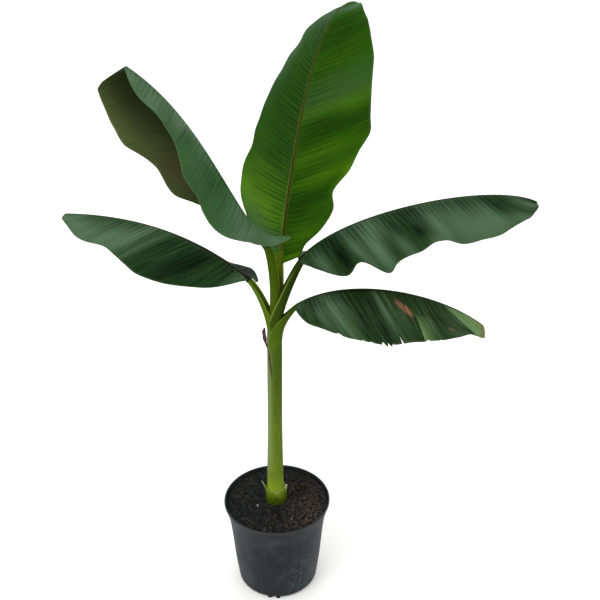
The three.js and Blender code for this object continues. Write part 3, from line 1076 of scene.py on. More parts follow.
# ---------------------------------------------------------------- pot
@dataclass
class Pot:
    """Round nursery pot of 5 litres: a thin tapered wall with a rolled lip and a footed base."""

    finish: MouldedPolypropylene
    height: float = 190
    wall: float = 2
    floor: float = 3
    radii: Sequence[float] = (79.5, 83.7, 87.2, 89.7, 92.6, 97, 105)  # foot to rim, even steps
    foot_radius: float = 74  # of the flat ring that it stands on
    skirt: float = 4.2  # height of the wall's lower edge
    lip: float = 1.5  # radius of the rolled lip
    sides: int = 180
    feet: int = 3  # pairs of feet, one on each side of a drain notch
    foot_size: tuple[float, float, float] = (3.4, 7.0, 5.2)
    foot_reach: float = 4.4  # how far a foot's middle stands outside the ring
    foot_gap: float = 17.0  # between the middles of a pair
    feet_start: float = -95.3  # degrees round to the first pair
    out_of_round: float = 0.0025  # over its radius, at the rim
    soil_line: tuple[float, float] = (150, 176)  # inside, dried soil starts between these heights
    scuffed: tuple[float, float] = (322, 45)  # where it is scuffed most: degrees round, and height

    def radius(self, z: Array) -> Array:
        """Return the wall's outer radius in millimetres at a height."""
        return along(self.radii, np.asarray(z, float) / self.height)

    def profile(self) -> Array:
        """Draw the wall's outline from the middle of the base round the lip to the floor.

        Returns:
            Radius and height of each point, in millimetres.
        """
        rim = float(self.radius(self.height))
        outer_z = np.linspace(self.skirt + 0.8, self.height - 2 * self.lip - 0.4, 44)
        inner_z = np.linspace(self.height - 6, self.floor + 5, 24)
        foot = float(self.radius(self.skirt))
        base = [[0, 0.6], [40, 0.6], [58, 0.6], [60, 0], [self.foot_radius - 2, 0],
                [self.foot_radius, 0.8], [foot - 2.2, self.skirt - 0.6], [foot - 0.7, self.skirt]]
        turn_over = np.linspace(0, math.pi, 9)
        lip = np.stack([rim - self.lip + self.lip * np.cos(turn_over),
                        self.height - self.lip + self.lip * np.sin(turn_over)], -1)
        inside = np.stack([self.radius(inner_z) - self.wall, inner_z], -1)
        outside = np.stack([self.radius(outer_z), outer_z], -1)
        low = [[self.foot_radius - self.wall, self.floor], [40, self.floor], [0, self.floor]]
        return np.concatenate([base, outside, [[rim, self.height - 2 * self.lip]], lip, inside, low])

    def shell(self) -> Object:
        """Turn the profile round the pot's axis.

        Returns:
            The piece.
        """
        profile = self.profile()
        rng = np.random.default_rng(5)
        turnround = np.linspace(0, 2 * math.pi, self.sides, endpoint=False)
        r, z = profile[:, :1], profile[:, 1:]
        warp = 1 + self.out_of_round * np.sin(2 * turnround + 0.7) * (z / self.height)
        points = around_axis(r * warp, turnround, z)
        inner = np.arange(len(profile))[:, None] > np.argmax(profile[:, 1])
        most, high = self.scuffed
        scuffed = bump(turnround, math.radians(most), 0.6) * bump(z, high, 50)
        fields = {
            "wear": np.clip(0.06 + scuffed + 0.3 * bump(z, self.height, 6), 0, 1),
            # dried soil line inside; outside, darker towards the bottom edge
            "soil_and_dark_foot": np.where(inner, 0.9 * smooth(*self.soil_line, z) * bump(z, 178, 9),
                               0.8 * bump(z, 2, 7)),
            "lip": bump(z, self.height, 1.6) * rng.uniform(0.85, 1),
        }
        return build_mesh("pot_shell", points, ring_faces(*points.shape[:2]), [self.finish.skin()],
                          fields=fields, uv=(turnround * 0.092, path_length(profile)[:, None] * MM))

    def feet_piece(self, skin: Material) -> Object:
        """Set a pair of small feet on each side of every drain notch, with Geometry Nodes.

        Args:
            skin: the pot's material.

        Returns:
            The piece.
        """
        group = NodeGroup("drain_feet", {
            "Pairs": ("NodeSocketInt", self.feet),
            "Reach": ("NodeSocketFloat", (self.foot_radius + self.foot_reach) * MM),
            "Gap": ("NodeSocketFloat", self.foot_gap * MM),
            "Size": ("NodeSocketVector", [v * MM for v in self.foot_size])})
        tree, given = group.tree, group.inputs
        half_gap = add_node(tree, "ShaderNodeMath", {0: given["Gap"], 1: 0.5}, operation="MULTIPLY")
        block = add_node(tree, "GeometryNodeMeshCube", {"Size": given["Size"]})
        both = add_node(tree, "GeometryNodeJoinGeometry")
        for sign in (1, -1):
            across = add_node(tree, "ShaderNodeMath", {0: half_gap, 1: sign}, operation="MULTIPLY")
            place = {"X": given["Reach"], "Y": across, "Z": self.foot_size[2] / 2 * MM}
            offset = add_node(tree, "ShaderNodeCombineXYZ", place)
            foot = add_node(tree, "GeometryNodeTransform", {"Geometry": block, "Translation": offset})
            tree.links.new(foot.outputs[0], both.inputs[0])
        stand = add_node(tree, "GeometryNodeMeshCircle", {"Vertices": given["Pairs"], "Radius": 0.001})
        number = add_node(tree, "GeometryNodeInputIndex")
        step = add_node(tree, "ShaderNodeMath", {0: 2 * math.pi, 1: given["Pairs"]}, operation="DIVIDE")
        angle = add_node(tree, "ShaderNodeMath", {0: number, 1: step, 2: math.radians(self.feet_start)},
                         operation="MULTIPLY_ADD")
        spin = add_node(tree, "ShaderNodeCombineXYZ", {"Z": angle})
        turned = add_node(tree, "FunctionNodeEulerToRotation", {0: spin})
        centred = add_node(tree, "GeometryNodeSetPosition", {
            "Geometry": stand, "Position": (0.0, 0.0, 0.0)})
        placed = add_node(tree, "GeometryNodeInstanceOnPoints", {
            "Points": centred, "Instance": both, "Rotation": turned})
        return group.grow("pot_feet", placed, skin)

    def build(self) -> list[Object]:
        """Build the pot's pieces.

        Returns:
            The pieces.
        """
        shell = self.shell()
        feet = self.feet_piece(shell.data.materials[0])
        return [settle(shell, "pot", "pot"), settle(feet, "pot")]


# ---------------------------------------------------------------- geometry nodes
class NodeGroup:
    """A Geometry Nodes tree with named inputs, run once and turned into a plain mesh."""

    def __init__(self, name: str, sizes: Mapping[str, tuple[str, Any]]) -> None:
        """Start a tree.

        Args:
            name: the tree's name.
            sizes: for each named input, its socket type and value.
        """
        self.tree = bpy.data.node_groups.new(name, "GeometryNodeTree")
        self.values: dict[str, Any] = {}
        self.tree.interface.new_socket("Geometry", in_out="INPUT", socket_type="NodeSocketGeometry")
        for key, (kind, value) in sizes.items():
            made = self.tree.interface.new_socket(key, in_out="INPUT", socket_type=kind)
            self.values[made.identifier] = value
        self.tree.interface.new_socket("Geometry", in_out="OUTPUT", socket_type="NodeSocketGeometry")
        self.inputs = add_node(self.tree, "NodeGroupInput").outputs

    def grow(self, name: str, geometry: Node, skin: Material,
             bed: Mesh | None = None) -> Object:
        """Close the tree, run it and keep its result as a plain mesh.

        Args:
            name: the piece's name.
            geometry: the node that gives what the tree makes.
            skin: the material of all of it.
            bed: the mesh that it grows on, if any.

        Returns:
            The piece.
        """
        real = add_node(self.tree, "GeometryNodeRealizeInstances", {0: geometry})
        painted = add_node(self.tree, "GeometryNodeSetMaterial", {"Geometry": real, "Material": skin})
        add_node(self.tree, "NodeGroupOutput", {0: painted})
        holder = link(bpy.data.objects.new(f"{name}_bed", bed or bpy.data.meshes.new(f"{name}_bed")))
        modifier = holder.modifiers.new(self.tree.name, "NODES")
        modifier.node_group = self.tree
        for identifier, value in self.values.items():
            modifier[identifier] = value
        graph = bpy.context.evaluated_depsgraph_get()
        grown = bpy.data.meshes.new_from_object(
            holder.evaluated_get(graph), preserve_all_data_layers=True, depsgraph=graph)
        holder.modifiers.clear()
        bpy.data.objects.remove(holder)
        grown.name = name
        grown.materials.clear()
        grown.materials.append(skin)
        return link(bpy.data.objects.new(name, grown))


class Bit(Enum):
    """What a loose bit in the compost is shaped like."""

    LUMP = "lump"
    FIBRE = "fibre"


@dataclass(frozen=True)
class Strewn:
    """Loose bits of one kind, strewn over the compost."""

    name: str
    kind: Bit
    finish: LooseStuff
    per_m2: float
    smallest: tuple[float, float, float]  # millimetres, half sizes
    largest: tuple[float, float, float]
    uneven: float = 0.5  # millimetres that a lump's skin wanders
    seed: int = 1
    centre: tuple[float, float] | None = None  # millimetres; strewn all over if not given
    spread: float = 20.0
    fine_over: float = 2.5  # millimetres; lumps that get wider than this have more faces

    def build(self, bed: Object) -> Object:
        """Strew the bits over a bed with Geometry Nodes.

        Args:
            bed: the compost's surface.

        Returns:
            The piece.
        """
        group = NodeGroup(f"strewn_{self.name}", {
            "Density": ("NodeSocketFloat", self.per_m2),
            "Seed": ("NodeSocketInt", self.seed),
            "Smallest": ("NodeSocketVector", [v * MM for v in self.smallest]),
            "Largest": ("NodeSocketVector", [v * MM for v in self.largest]),
            "Uneven": ("NodeSocketFloat", self.uneven * MM),
        })
        tree, given = group.tree, group.inputs
        density = given["Density"]
        if self.centre is not None:
            place = add_node(tree, "GeometryNodeInputPosition")
            flat = add_node(tree, "ShaderNodeVectorMath", {0: place, 1: (1.0, 1.0, 0.0)},
                            operation="MULTIPLY")
            heap = (self.centre[0] * MM, self.centre[1] * MM, 0.0)
            away = add_node(tree, "ShaderNodeVectorMath", {0: flat, 1: heap}, operation="DISTANCE")
            near = add_node(tree, "ShaderNodeMapRange", {
                0: away.outputs["Value"], 1: self.spread * 0.4 * MM, 2: self.spread * MM, 3: 1.0, 4: 0.0})
            density = add_node(tree, "ShaderNodeMath", {0: near, 1: density}, operation="MULTIPLY")
        points = add_node(tree, "GeometryNodeDistributePointsOnFaces", {
            "Mesh": given["Geometry"], "Density": density, "Seed": given["Seed"]})
        size = add_node(tree, "FunctionNodeRandomValue", {
            "Min": given["Smallest"], "Max": given["Largest"], "Seed": given["Seed"]},
            data_type="FLOAT_VECTOR")
        if self.kind is Bit.LUMP:
            fine = 2 if max(self.largest) > self.fine_over else 1
            shape = add_node(tree, "GeometryNodeMeshIcoSphere", {"Radius": 1.0, "Subdivisions": fine})
            tilt = (math.pi, math.pi, math.pi)
        else:
            bow = add_node(tree, "GeometryNodeCurveQuadraticBezier", {
                "Resolution": 6, "Start": (-1, 0, 0.0), "Middle": (0.1, 0.75, 1.2), "End": (1, -0.1, 0.0)})
            ring = add_node(tree, "GeometryNodeCurvePrimitiveCircle", {"Resolution": 4, "Radius": 0.06})
            shape = add_node(tree, "GeometryNodeCurveToMesh", {
                "Curve": bow, "Profile Curve": ring, "Fill Caps": True})
            tilt = (0.35, 0.35, math.pi)
        way = add_node(tree, "FunctionNodeRandomValue", {
            "Min": [-v for v in tilt], "Max": tilt, "Seed": 7}, data_type="FLOAT_VECTOR")
        turned = add_node(tree, "FunctionNodeEulerToRotation", {0: way})
        placed = add_node(tree, "GeometryNodeInstanceOnPoints", {
            "Points": points, "Instance": shape, "Rotation": turned, "Scale": size})
        real = add_node(tree, "GeometryNodeRealizeInstances", {0: placed})
        rough = add_node(tree, "ShaderNodeTexNoise", {"Scale": 1 / (2.2 * MM), "Detail": 1.0})
        wander = add_node(tree, "ShaderNodeVectorMath", {0: rough.outputs["Color"], 1: (0.5, 0.5, 0.5)},
                          operation="SUBTRACT")
        offset = add_node(tree, "ShaderNodeVectorMath", {0: wander, 3: given["Uneven"]}, operation="SCALE")
        shaken = add_node(tree, "GeometryNodeSetPosition", {"Geometry": real, "Offset": offset})
        return group.grow(self.name, shaken, self.finish.skin(), bed.data)


# ---------------------------------------------------------------- compost
@dataclass
class Compost:
    """The compost that fills the pot: a low uneven mound, crumbly on top."""

    pot: Pot
    finish: LooseStuff
    strewn: Sequence[Strewn]
    edge: float = 179  # its height by the pot's wall, in millimetres
    crown: float = 187  # and round the stem
    seat_radius: float = 24  # of the level middle, round the stem
    clearance: float = 2.6  # between the pot's outer face and the compost, below its edge
    gap: float = 0.9  # between its top edge and the pot's inner face
    heaped: float = 4.5  # how much higher it lies on one side, by the wall
    heaped_at: float = 20  # degrees round to that side
    warm_at: tuple[float, float] = (62, -20)  # where coir lies among it, to the right and away
    bed_radii: tuple[float, float] = (96, 19)  # between these the loose bits lie
    unevenness: float = 1.6  # height of its swells in millimetres
    clods: float = 1.8  # height of the crumbs in millimetres
    rings: int = 130
    sides: int = 260

    def height(self, r: Array, angle: Array) -> Array:
        """Work out the mound's height.

        Args:
            r: distances from the middle in millimetres.
            angle: angles in radians.

        Returns:
            Heights in millimetres.
        """
        rim = float(self.pot.radius(self.edge)) - self.pot.wall
        away = np.clip((r - self.seat_radius) / (rim - self.seat_radius), 0, 1)
        swell = np.sin(3 * angle + 0.8) + 0.7 * np.sin(5 * angle + 2.1 + 3 * away)
        lie = self.heaped * away**2 * (1 + np.cos(angle - math.radians(self.heaped_at))) / 2
        return (self.crown + (self.edge - self.crown) * away**0.8 + lie
                + self.unevenness * swell * np.sin(math.pi * away))

    def relief(self, x: Array, y: Array, rng: np.random.Generator) -> Array:
        """Raise uneven crumbs.

        Args:
            x: places in millimetres.
            y: the same, away from the viewer.
            rng: source of the waves that make them.

        Returns:
            Heights from about -1 to 1.
        """
        total = np.zeros_like(x)
        for pitch, share in ((16, 0.6), (8, 0.6), (4, 0.5), (2.2, 0.35)):
            layer = np.zeros_like(x)
            for _ in range(9):
                way = rng.uniform(0, 2 * math.pi)
                k = 2 * math.pi / (pitch * rng.uniform(0.7, 1.5))
                layer += np.sin(k * (x * math.cos(way) + y * math.sin(way)) + rng.uniform(0, 6.3))
            total += share * (0.6 - np.abs(layer) / 3)
        return total

    def mound(self) -> Object:
        """Build the compost as a closed solid with its crumbly top.

        Returns:
            The piece.
        """
        rng = np.random.default_rng(11)
        top = float(self.pot.radius(self.edge)) - self.pot.wall - self.gap
        angle = np.linspace(0, 2 * math.pi, self.sides, endpoint=False)
        r = np.linspace(top, 0.5, self.rings)[:, None]
        crumbs = self.clods * self.relief(r * np.cos(angle), r * np.sin(angle), rng)
        cover = around_axis(r, angle, self.height(r, angle) + crumbs * smooth(0, 4, top - r + 2))
        low_z = np.array([3.3, 9.0, 60.0, 120.0, 168.0])
        low_r = np.array([self.pot.foot_radius, *self.pot.radius(low_z[1:])]) - self.clearance
        wall = around_axis(low_r[:, None], angle, low_z[:, None])
        points = np.concatenate([wall[:1] * [0.01, 0.01, 1], wall, cover])
        right, away = (v * MM for v in self.warm_at)
        warm = bump(points[..., 0], right, 34 * MM) * bump(points[..., 1], away, 60 * MM)
        return build_mesh("compost", points, ring_faces(*points.shape[:2], capped=True),
                          [self.finish.skin()], fields={"warm": warm})

    def bed(self) -> Object:
        """Make the smooth surface that the loose bits are strewn on.

        Returns:
            The surface, which is taken away again once they are.
        """
        angle = np.linspace(0, 2 * math.pi, 48, endpoint=False)
        r = np.linspace(*self.bed_radii, 14)[:, None]
        points = around_axis(r, angle, self.height(r, angle) + 0.7 * self.clods)
        return build_mesh("compost_bed", points, ring_faces(*points.shape[:2]), [])

    def build(self) -> list[Object]:
        """Build the compost and what is strewn on it.

        Returns:
            The pieces.
        """
        mound = settle(self.mound(), "soil", "soil")
        bed = self.bed()
        made = [mound, *(settle(kind.build(bed), "soil") for kind in self.strewn)]
        bpy.data.objects.remove(bed)
        return made


# ---------------------------------------------------------------- stem
@dataclass
class Stem:
    """The pseudostem: sheaths rolled one round another, with the cut collar and the dead sheath."""

    finish: LivingSheath
    collar_finish: CutSheath
    dead_finish: DeadSheath
    foot: float = 187.3
    top: float = 572
    radii: Sequence[float] = (17, 14.8, 13.2, 13.3, 13.2)
    lean: tuple[float, float] = (-3, 0.8)  # how far its middle stands off the axis, foot and top
    sides: int = 120
    rows: int = 320
    # Edges of the rolled sheaths: angle at the foot, turn to the top, height where it starts and ends.
    edges: Sequence[tuple[float, float, float, float]] = (
        (255, -26, 187, 470), (305, -18, 260, 572), (60, 30, 187, 520), (160, 20, 240, 572))
    edge_rise: float = 0.7  # millimetres that such an edge stands proud
    collar_height: float = 33
    collar_thickness: float = 1.6
    collar_bulge: float = 3.5
    # What stands out of the collar's edge: degrees round to it, half its width in degrees, its height.
    shard: tuple[float, float, float] = (192, 5, 17)
    stub: tuple[float, float, float] = (352, 8, 6)
    notch: tuple[float, float, float] = (284, 24, -6)
    hollow_shade_at: float = 278  # degrees round to the collar's hollow, painted dark as shade
    rust_at: float = 318  # and to its rust spots
    lit_side_at: float = 222  # degrees round to the stem's lit side, painted paler as painted light
    dead_foot: float = 477  # height where the dead sheath starts
    dead_long: float = 99  # and its length

    def centre_x(self, z: Array) -> Array:
        """Return the stem's centre line in millimetres at a height."""
        return self.lean[0] + (self.lean[1] - self.lean[0]) * (z - self.foot) / (self.top - self.foot)

    def radius(self, z: Array) -> Array:
        """Return the stem's radius in millimetres at a height."""
        return along(self.radii, (z - self.foot) / (self.top - self.foot))

    def skin(self) -> Object:
        """Build the stem with its sheath edges and fine ribs.

        Returns:
            The piece.
        """
        z = np.linspace(self.foot - 6, self.top + 3, self.rows)[:, None]
        a = np.linspace(0, 360, self.sides, endpoint=False)
        r = self.radius(z) + 0 * a
        for start, twist, low, high in self.edges:
            run = np.clip((z - low) / (high - low), 0, 1)
            from_edge = (a - (start + twist * run) + 180) % 360 - 180
            inside = smooth(low - 4, low + 10, z) * (1 - smooth(high - 10, high + 4, z))
            r = r + self.edge_rise * inside * smooth(-1.5, 1.5, from_edge) * (1 - smooth(10, 90, from_edge))
        rad = np.radians(a)
        r = r + (0.10 * np.sin(rad * 31 + z * 0.02) + 0.07 * np.sin(rad * 47 - z * 0.013 + 1))
        points = around_axis(r, rad, z, self.centre_x(z))
        # painted light: the stem's lit side, painted paler through the channel attribute
        left = self.around(a, self.lit_side_at, 26) * smooth(230, 300, z) * (1 - 0.5 * smooth(470, 540, z))
        fields = {"height": smooth(240, 520, z), "channel": 0.75 * left,
                  "fresh": 0.85 * (1 - smooth(212, 262, z))}
        return build_mesh("stem_skin", points, ring_faces(*points.shape[:2], capped=True),
                          [self.finish.skin()], fields=fields, uv=(rad * self.radius(z) * MM, z * MM))

    @staticmethod
    def around(angle: Array, centre: float, spread: float) -> Array:
        """Return a hump of height 1 round a place on the stem, with the angles in degrees."""
        return bump((angle - centre + 180) % 360 - 180, 0, spread)

    def collar(self) -> Object:
        """Build the cut old sheaths: uneven, with a shard and a pale stub left standing.

        Returns:
            The piece.
        """
        rng = np.random.default_rng(21)
        a = np.linspace(0, 360, 260, endpoint=False)
        rad = np.radians(a)
        features = (self.shard, self.stub, self.notch)
        shard, stub, notch = (self.around(a, centre, spread) for centre, spread, _ in features)
        jag = np.interp(a, np.linspace(0, 360, 60), rng.uniform(-1.3, 1.3, 60), period=360)
        height = (self.collar_height + self.shard[2] * shard + self.stub[2] * stub
                  + self.notch[2] * notch + jag)
        lean = 11 * self.around(a, self.shard[0], 7) + 5 * stub
        thick = self.collar_thickness + self.collar_bulge * (1 + np.cos(rad)) / 2
        s = np.linspace(-0.1, 1, 30)[:, None]
        bent = np.clip(s, 0, 1) ** 3
        z = self.foot + height * s
        base = self.radius(z) + 0.6 + lean * bent
        outer = base + thick * (1 - 0.65 * bent) + (0.22 * np.sin(rad * 37) + 0.15 * np.sin(rad * 61 + 2))
        walls = [around_axis(r, rad, z, self.centre_x(z)) for r in (outer, base)]
        points = np.concatenate([walls[0], walls[1][::-1]])
        rows, columns = points.shape[:2]
        close = grid_faces(2, columns, wrap=True)
        close = np.where(close >= columns, close - columns, close + (rows - 1) * columns)[:, ::-1]
        s = np.concatenate([s, s[::-1]])
        dry = (stub + shard) * smooth(0.6, 0.85, s)
        # hollow: painted shade where the collar opens in front
        fields = {"height": smooth(0.1, 1, s), "lip": np.clip(smooth(0.96, 1.0, s) * 0.6 + dry, 0, 1),
                  "hollow_shade": self.around(a, self.hollow_shade_at, 26) * bump(s, 0.55, 0.3) * 0.62,
                  "rust": self.around(a, self.rust_at, 16) * bump(s, 0.35, 0.25) * 0.52}
        return build_mesh("collar_cut", points, [*ring_faces(rows, columns), close],
                          [self.collar_finish.skin()], fields=fields,
                          uv=(rad * 18 * MM, np.concatenate([z, z[::-1]]) * MM))

    def dead_sheath(self) -> Object:
        """Build the dead sheath: a papery thread up the stem that peels off to the left at its tip.

        Returns:
            The piece.
        """
        s = np.linspace(0, 1, 110)[:, None]
        u = np.linspace(-0.5, 0.5, 12)
        z = self.dead_foot + self.dead_long * s + 0 * u
        peel = smooth(0.5, 0.72, s)
        angle = np.radians(250 - 24 * smooth(-0.1, 0.5, s) - 40 * smooth(0.45, 0.68, s)) + 0 * u
        span = (1.9 + 4.9 * smooth(0.55, 0.8, s)) * smooth(-0.06, 0.1, s) * (1 - 0.55 * smooth(0.9, 1, s))
        crinkle = 0.3 * np.sin(40 * s + 3 * u) * (0.3 + s)
        tip = 3.0 * smooth(0.7, 1.0, s)
        out = self.radius(np.minimum(z, self.top)) + 0.9 + tip + crinkle + span * (u + 0.5) * peel
        side = span * u * (1 - 0.8 * peel)
        walls = []
        for offset in (0.45, 0.0):
            r, across = out + offset * (1 - peel), side + offset * peel
            walls.append(np.stack([self.centre_x(z) + r * np.cos(angle) - across * np.sin(angle),
                                   r * np.sin(angle) + across * np.cos(angle), z], -1) * MM)
        return build_mesh("dead_sheath", np.stack(walls), skin_faces(*z.shape, flip=True),
                          [self.dead_finish.skin()], uv=(span * u * MM, z * MM))

    def build(self) -> list[Object]:
        """Build the stem's pieces."""
        return [settle(self.skin(), "stem", "stem"), settle(self.collar(), "sheath_stub", "collar"),
                settle(self.dead_sheath(), "dry_sheath", "dry_sheath")]


# ---------------------------------------------------------------- the plant's own leaves
def lamina(name: str, **colours: Any) -> LivingLamina:
    """Return a leaf's lamina, with the plant's usual colours where none are given."""
    usual = {"deep": "#10290f", "bright": "#4a6f3c", "fold": "#041207", "bloom": "#4f694e"}
    return LivingLamina(f"lamina_{name}", **{**usual, **colours})


def sheath(name: str, **colours: Any) -> LivingSheath:
    """Make a petiole's skin, with the plant's usual colours where none are given.

    Args:
        name: the leaf's place.
        colours: the colours that differ, by field.

    Returns:
        The skin.
    """
    usual = {"low": "#4c6309", "high": "#4d650e", "streak": "#35480a", "lip": "#6d7c34",
             "channel": "#4d6118"}
    return LivingSheath(f"petiole_skin_{name}", **{**usual, **colours})


def spots(*rows: tuple[float, float, float, float, float]) -> list[Patch]:
    """Return patches from their station, place across, spread along, spread across and amount."""
    return [Patch(*row) for row in rows]


def midrib_skin(name: str, low: str, high: str, streak: str, lip: str, channel: str) -> LivingSheath:
    """Return a midrib's skin: a sheath's, but a little rougher."""
    return LivingSheath(f"midrib_skin_{name}", low, high, streak, lip, channel, roughness=0.45, gloss=0.03)


DEEP_MIDRIB = midrib_skin("deep", "#2c4420", "#24401c", "#1c3416", "#3c5434", "#16260f")
# painted shadow: leaf 2's midrib, dark all over and near black in its channel, with pale pinkish lips
SHADOWED_MIDRIB = midrib_skin("dark", "#1b2012", "#24381c", "#12180c", "#8a7d74", "#0b0d08")
PALE_MIDRIB = midrib_skin("pale", "#6c7c16", "#3c5424", "#4c5c16", "#8f9a66", "#3a3a10")


def oldest_leaf() -> Leaf:
    """Describe leaf 1: low on the right, torn and burnt at its far end.

    Returns:
        The leaf.
    """
    return Leaf(
        1, rib=[(38, -12, 624), (120, -25, 689), (277, -55, 675), (361, -62, 609)], rib_base=5,
        petiole=Petiole(
            (0.5, 0, 480), [(2, -2, 560), (5, -4, 584), (22, -9, 606)],
            radii=[11.3, 12.4, 13.2, 11.2, 8.2, 5.6], wrap=[178, 174, 150, 126, 112, 104]),
        left=HalfBlade(
            [40, 85, 100, 85, 60, 40], [35, 40, 40], [60, 60, 60], lobe=16, sweep=0.5,
            bloom=spots((0.2, 0.6, 0.08, 0.8, 0.45), (0.6, 0.6, 0.12, 0.8, 0.45)), frayed=0.87),
        right=HalfBlade(
            [27, 60, 95, 106, 103, 91, 80, 66, 48, 31, 44], lobe=8, sweep=0.5, base_round=0.08,
            tip_round=0.16,
            nicks=[
                (0.17, 0.008, 4), (0.25, 0.004, 2.5), (0.28, 0.005, 2), (0.335, 0.004, 5),
                (0.35, 0.006, -3.5), (0.362, 0.003, 4), (0.374, 0.005, -3), (0.386, 0.003, 5),
                (0.447, 0.004, 14), (0.6, 0.01, 2), (0.68, 0.004, 3.5), (0.955, 0.004, 4),
                (0.97, 0.003, 5)],
            laps=[
                Overlap(0.15, 0.06, 0.15, 2.5, 0.05, 0.5, 0.1, 0.22),
                Overlap(0.56, 0.02, 0.45, 3.5, 0.12, 0.9, 0.16, 0.62),
                Overlap(0.74, 0.18, 0.0, 3.0, 0.3, 0.5, 0.95)],
            pleats=Pleats(
                spacing=8, depth=0.8, width=1.3, reach=1.0, dark=0.45, lean=[0, 0, 0, 0, 5, 15, 45, 60]),
            painted_light=spots(
                (0.42, 0.2, 0.008, 0.3, 0.3), (0.46, 0.25, 0.008, 0.3, 0.3), (0.57, 0.8, 0.03, 0.4, 0.1),
                (0.545, 0.85, 0.015, 0.35, 0.4)),
            bloom=spots(
                (0.03, 0.15, 0.03, 0.3, 0.4), (0.115, 0.45, 0.022, 0.4, 0.5),
                (0.175, 0.5, 0.032, 0.6, 0.75), (0.23, 0.3, 0.03, 0.3, 0.35), (0.42, 0.4, 0.022, 0.5, 0.6),
                (0.49, 0.5, 0.02, 0.3, 0.35), (0.62, 0.7, 0.02, 0.3, 0.3), (0.69, 0.9, 0.02, 0.2, 0.4),
                (0.76, 0.5, 0.02, 0.5, 0.45)),
            dark=spots(
                (0.1, 0.25, 0.025, 0.3, 0.45), (0.29, 0.7, 0.03, 0.4, 0.45), (0.36, 0.35, 0.025, 0.4, 0.5),
                (0.36, 0.85, 0.04, 0.3, 0.3), (0.49, 0.95, 0.02, 0.3, 0.3)),
            scorch=spots(
                (0.507, 0.25, 0.031, 0.27, 0.52), (0.54, 0.46, 0.022, 0.2, 0.49),
                (0.69, 0.75, 0.02, 0.14, 0.5), (0.64, 0.6, 0.012, 0.2, 0.42), (0.36, 1.0, 0.05, 0.04, 0.5)),
            frayed=0.87), lamina=lamina("low_right", bright="#6d8d58"),
        stalk=sheath("low_right", low="#526a17", high="#2f4207", lip="#5c6a24"), rib_skin=DEEP_MIDRIB)


def second_leaf() -> Leaf:
    """Describe leaf 2: low on the left, arched over to its pointed tip.

    Returns:
        The leaf.
    """
    return Leaf(
        2, rib=[(-43, 20, 659), (-146, 65, 734), (-271, 115, 747), (-397, 150, 736)], rib_base=5,
        petiole=Petiole(
            (-1, 0, 490), [(-2, -1, 572.6), (-8, 2, 604), (-28, 14, 648)],
            radii=[10.5, 11.4, 10.8, 8.6, 7.2, 6.2], wrap=[176, 165, 140, 124, 112, 104]),
        left=HalfBlade(
            [5, 57, 95, 101, 90, 77, 64, 60, 51, 36, 25], lobe=10, sweep=0.6,
            pleats=Pleats(
                spacing=12, depth=1.1, width=1.9, reach=1.0, dark=0.85, lean=[0, 0, 0, 0, 5, 15, 20, 20]),
            bloom=spots(
                (0.02, 0.6, 0.04, 0.6, 0.5), (0.52, 0.5, 0.045, 0.8, 0.8), (0.6, 0.8, 0.05, 0.6, 0.75),
                (0.7, 0.9, 0.06, 0.5, 0.7), (0.8, 0.7, 0.06, 0.5, 0.7), (0.9, 0.5, 0.06, 0.8, 0.8),
                (0.98, 0.5, 0.05, 0.8, 0.35), (0.7, 0.3, 0.08, 0.4, 0.2), (0.43, 0.6, 0.025, 0.8, 0.4),
                (0.03, 0.2, 0.03, 0.3, 0.3)),
            dark=spots((0.22, 0.5, 0.045, 0.6, 0.75), (0.36, 0.4, 0.02, 0.5, 0.2)), frayed=0.9),
        right=HalfBlade(
            [46, 66, 90, 98, 96, 84, 66, 35], [20, 14] + [32] * 13, [46, 16, 50] + [58] * 12, lobe=28,
            sweep=0.6, base_round=0.02, bloom=spots((0.45, 0.6, 0.1, 0.8, 0.6), (0.8, 0.5, 0.12, 0.8, 0.6)),
            dark=spots((0.05, 0.5, 0.18, 2.0, 0.55))), lamina=lamina("low_left"), stalk=sheath("low_left"),
        rib_skin=SHADOWED_MIDRIB)


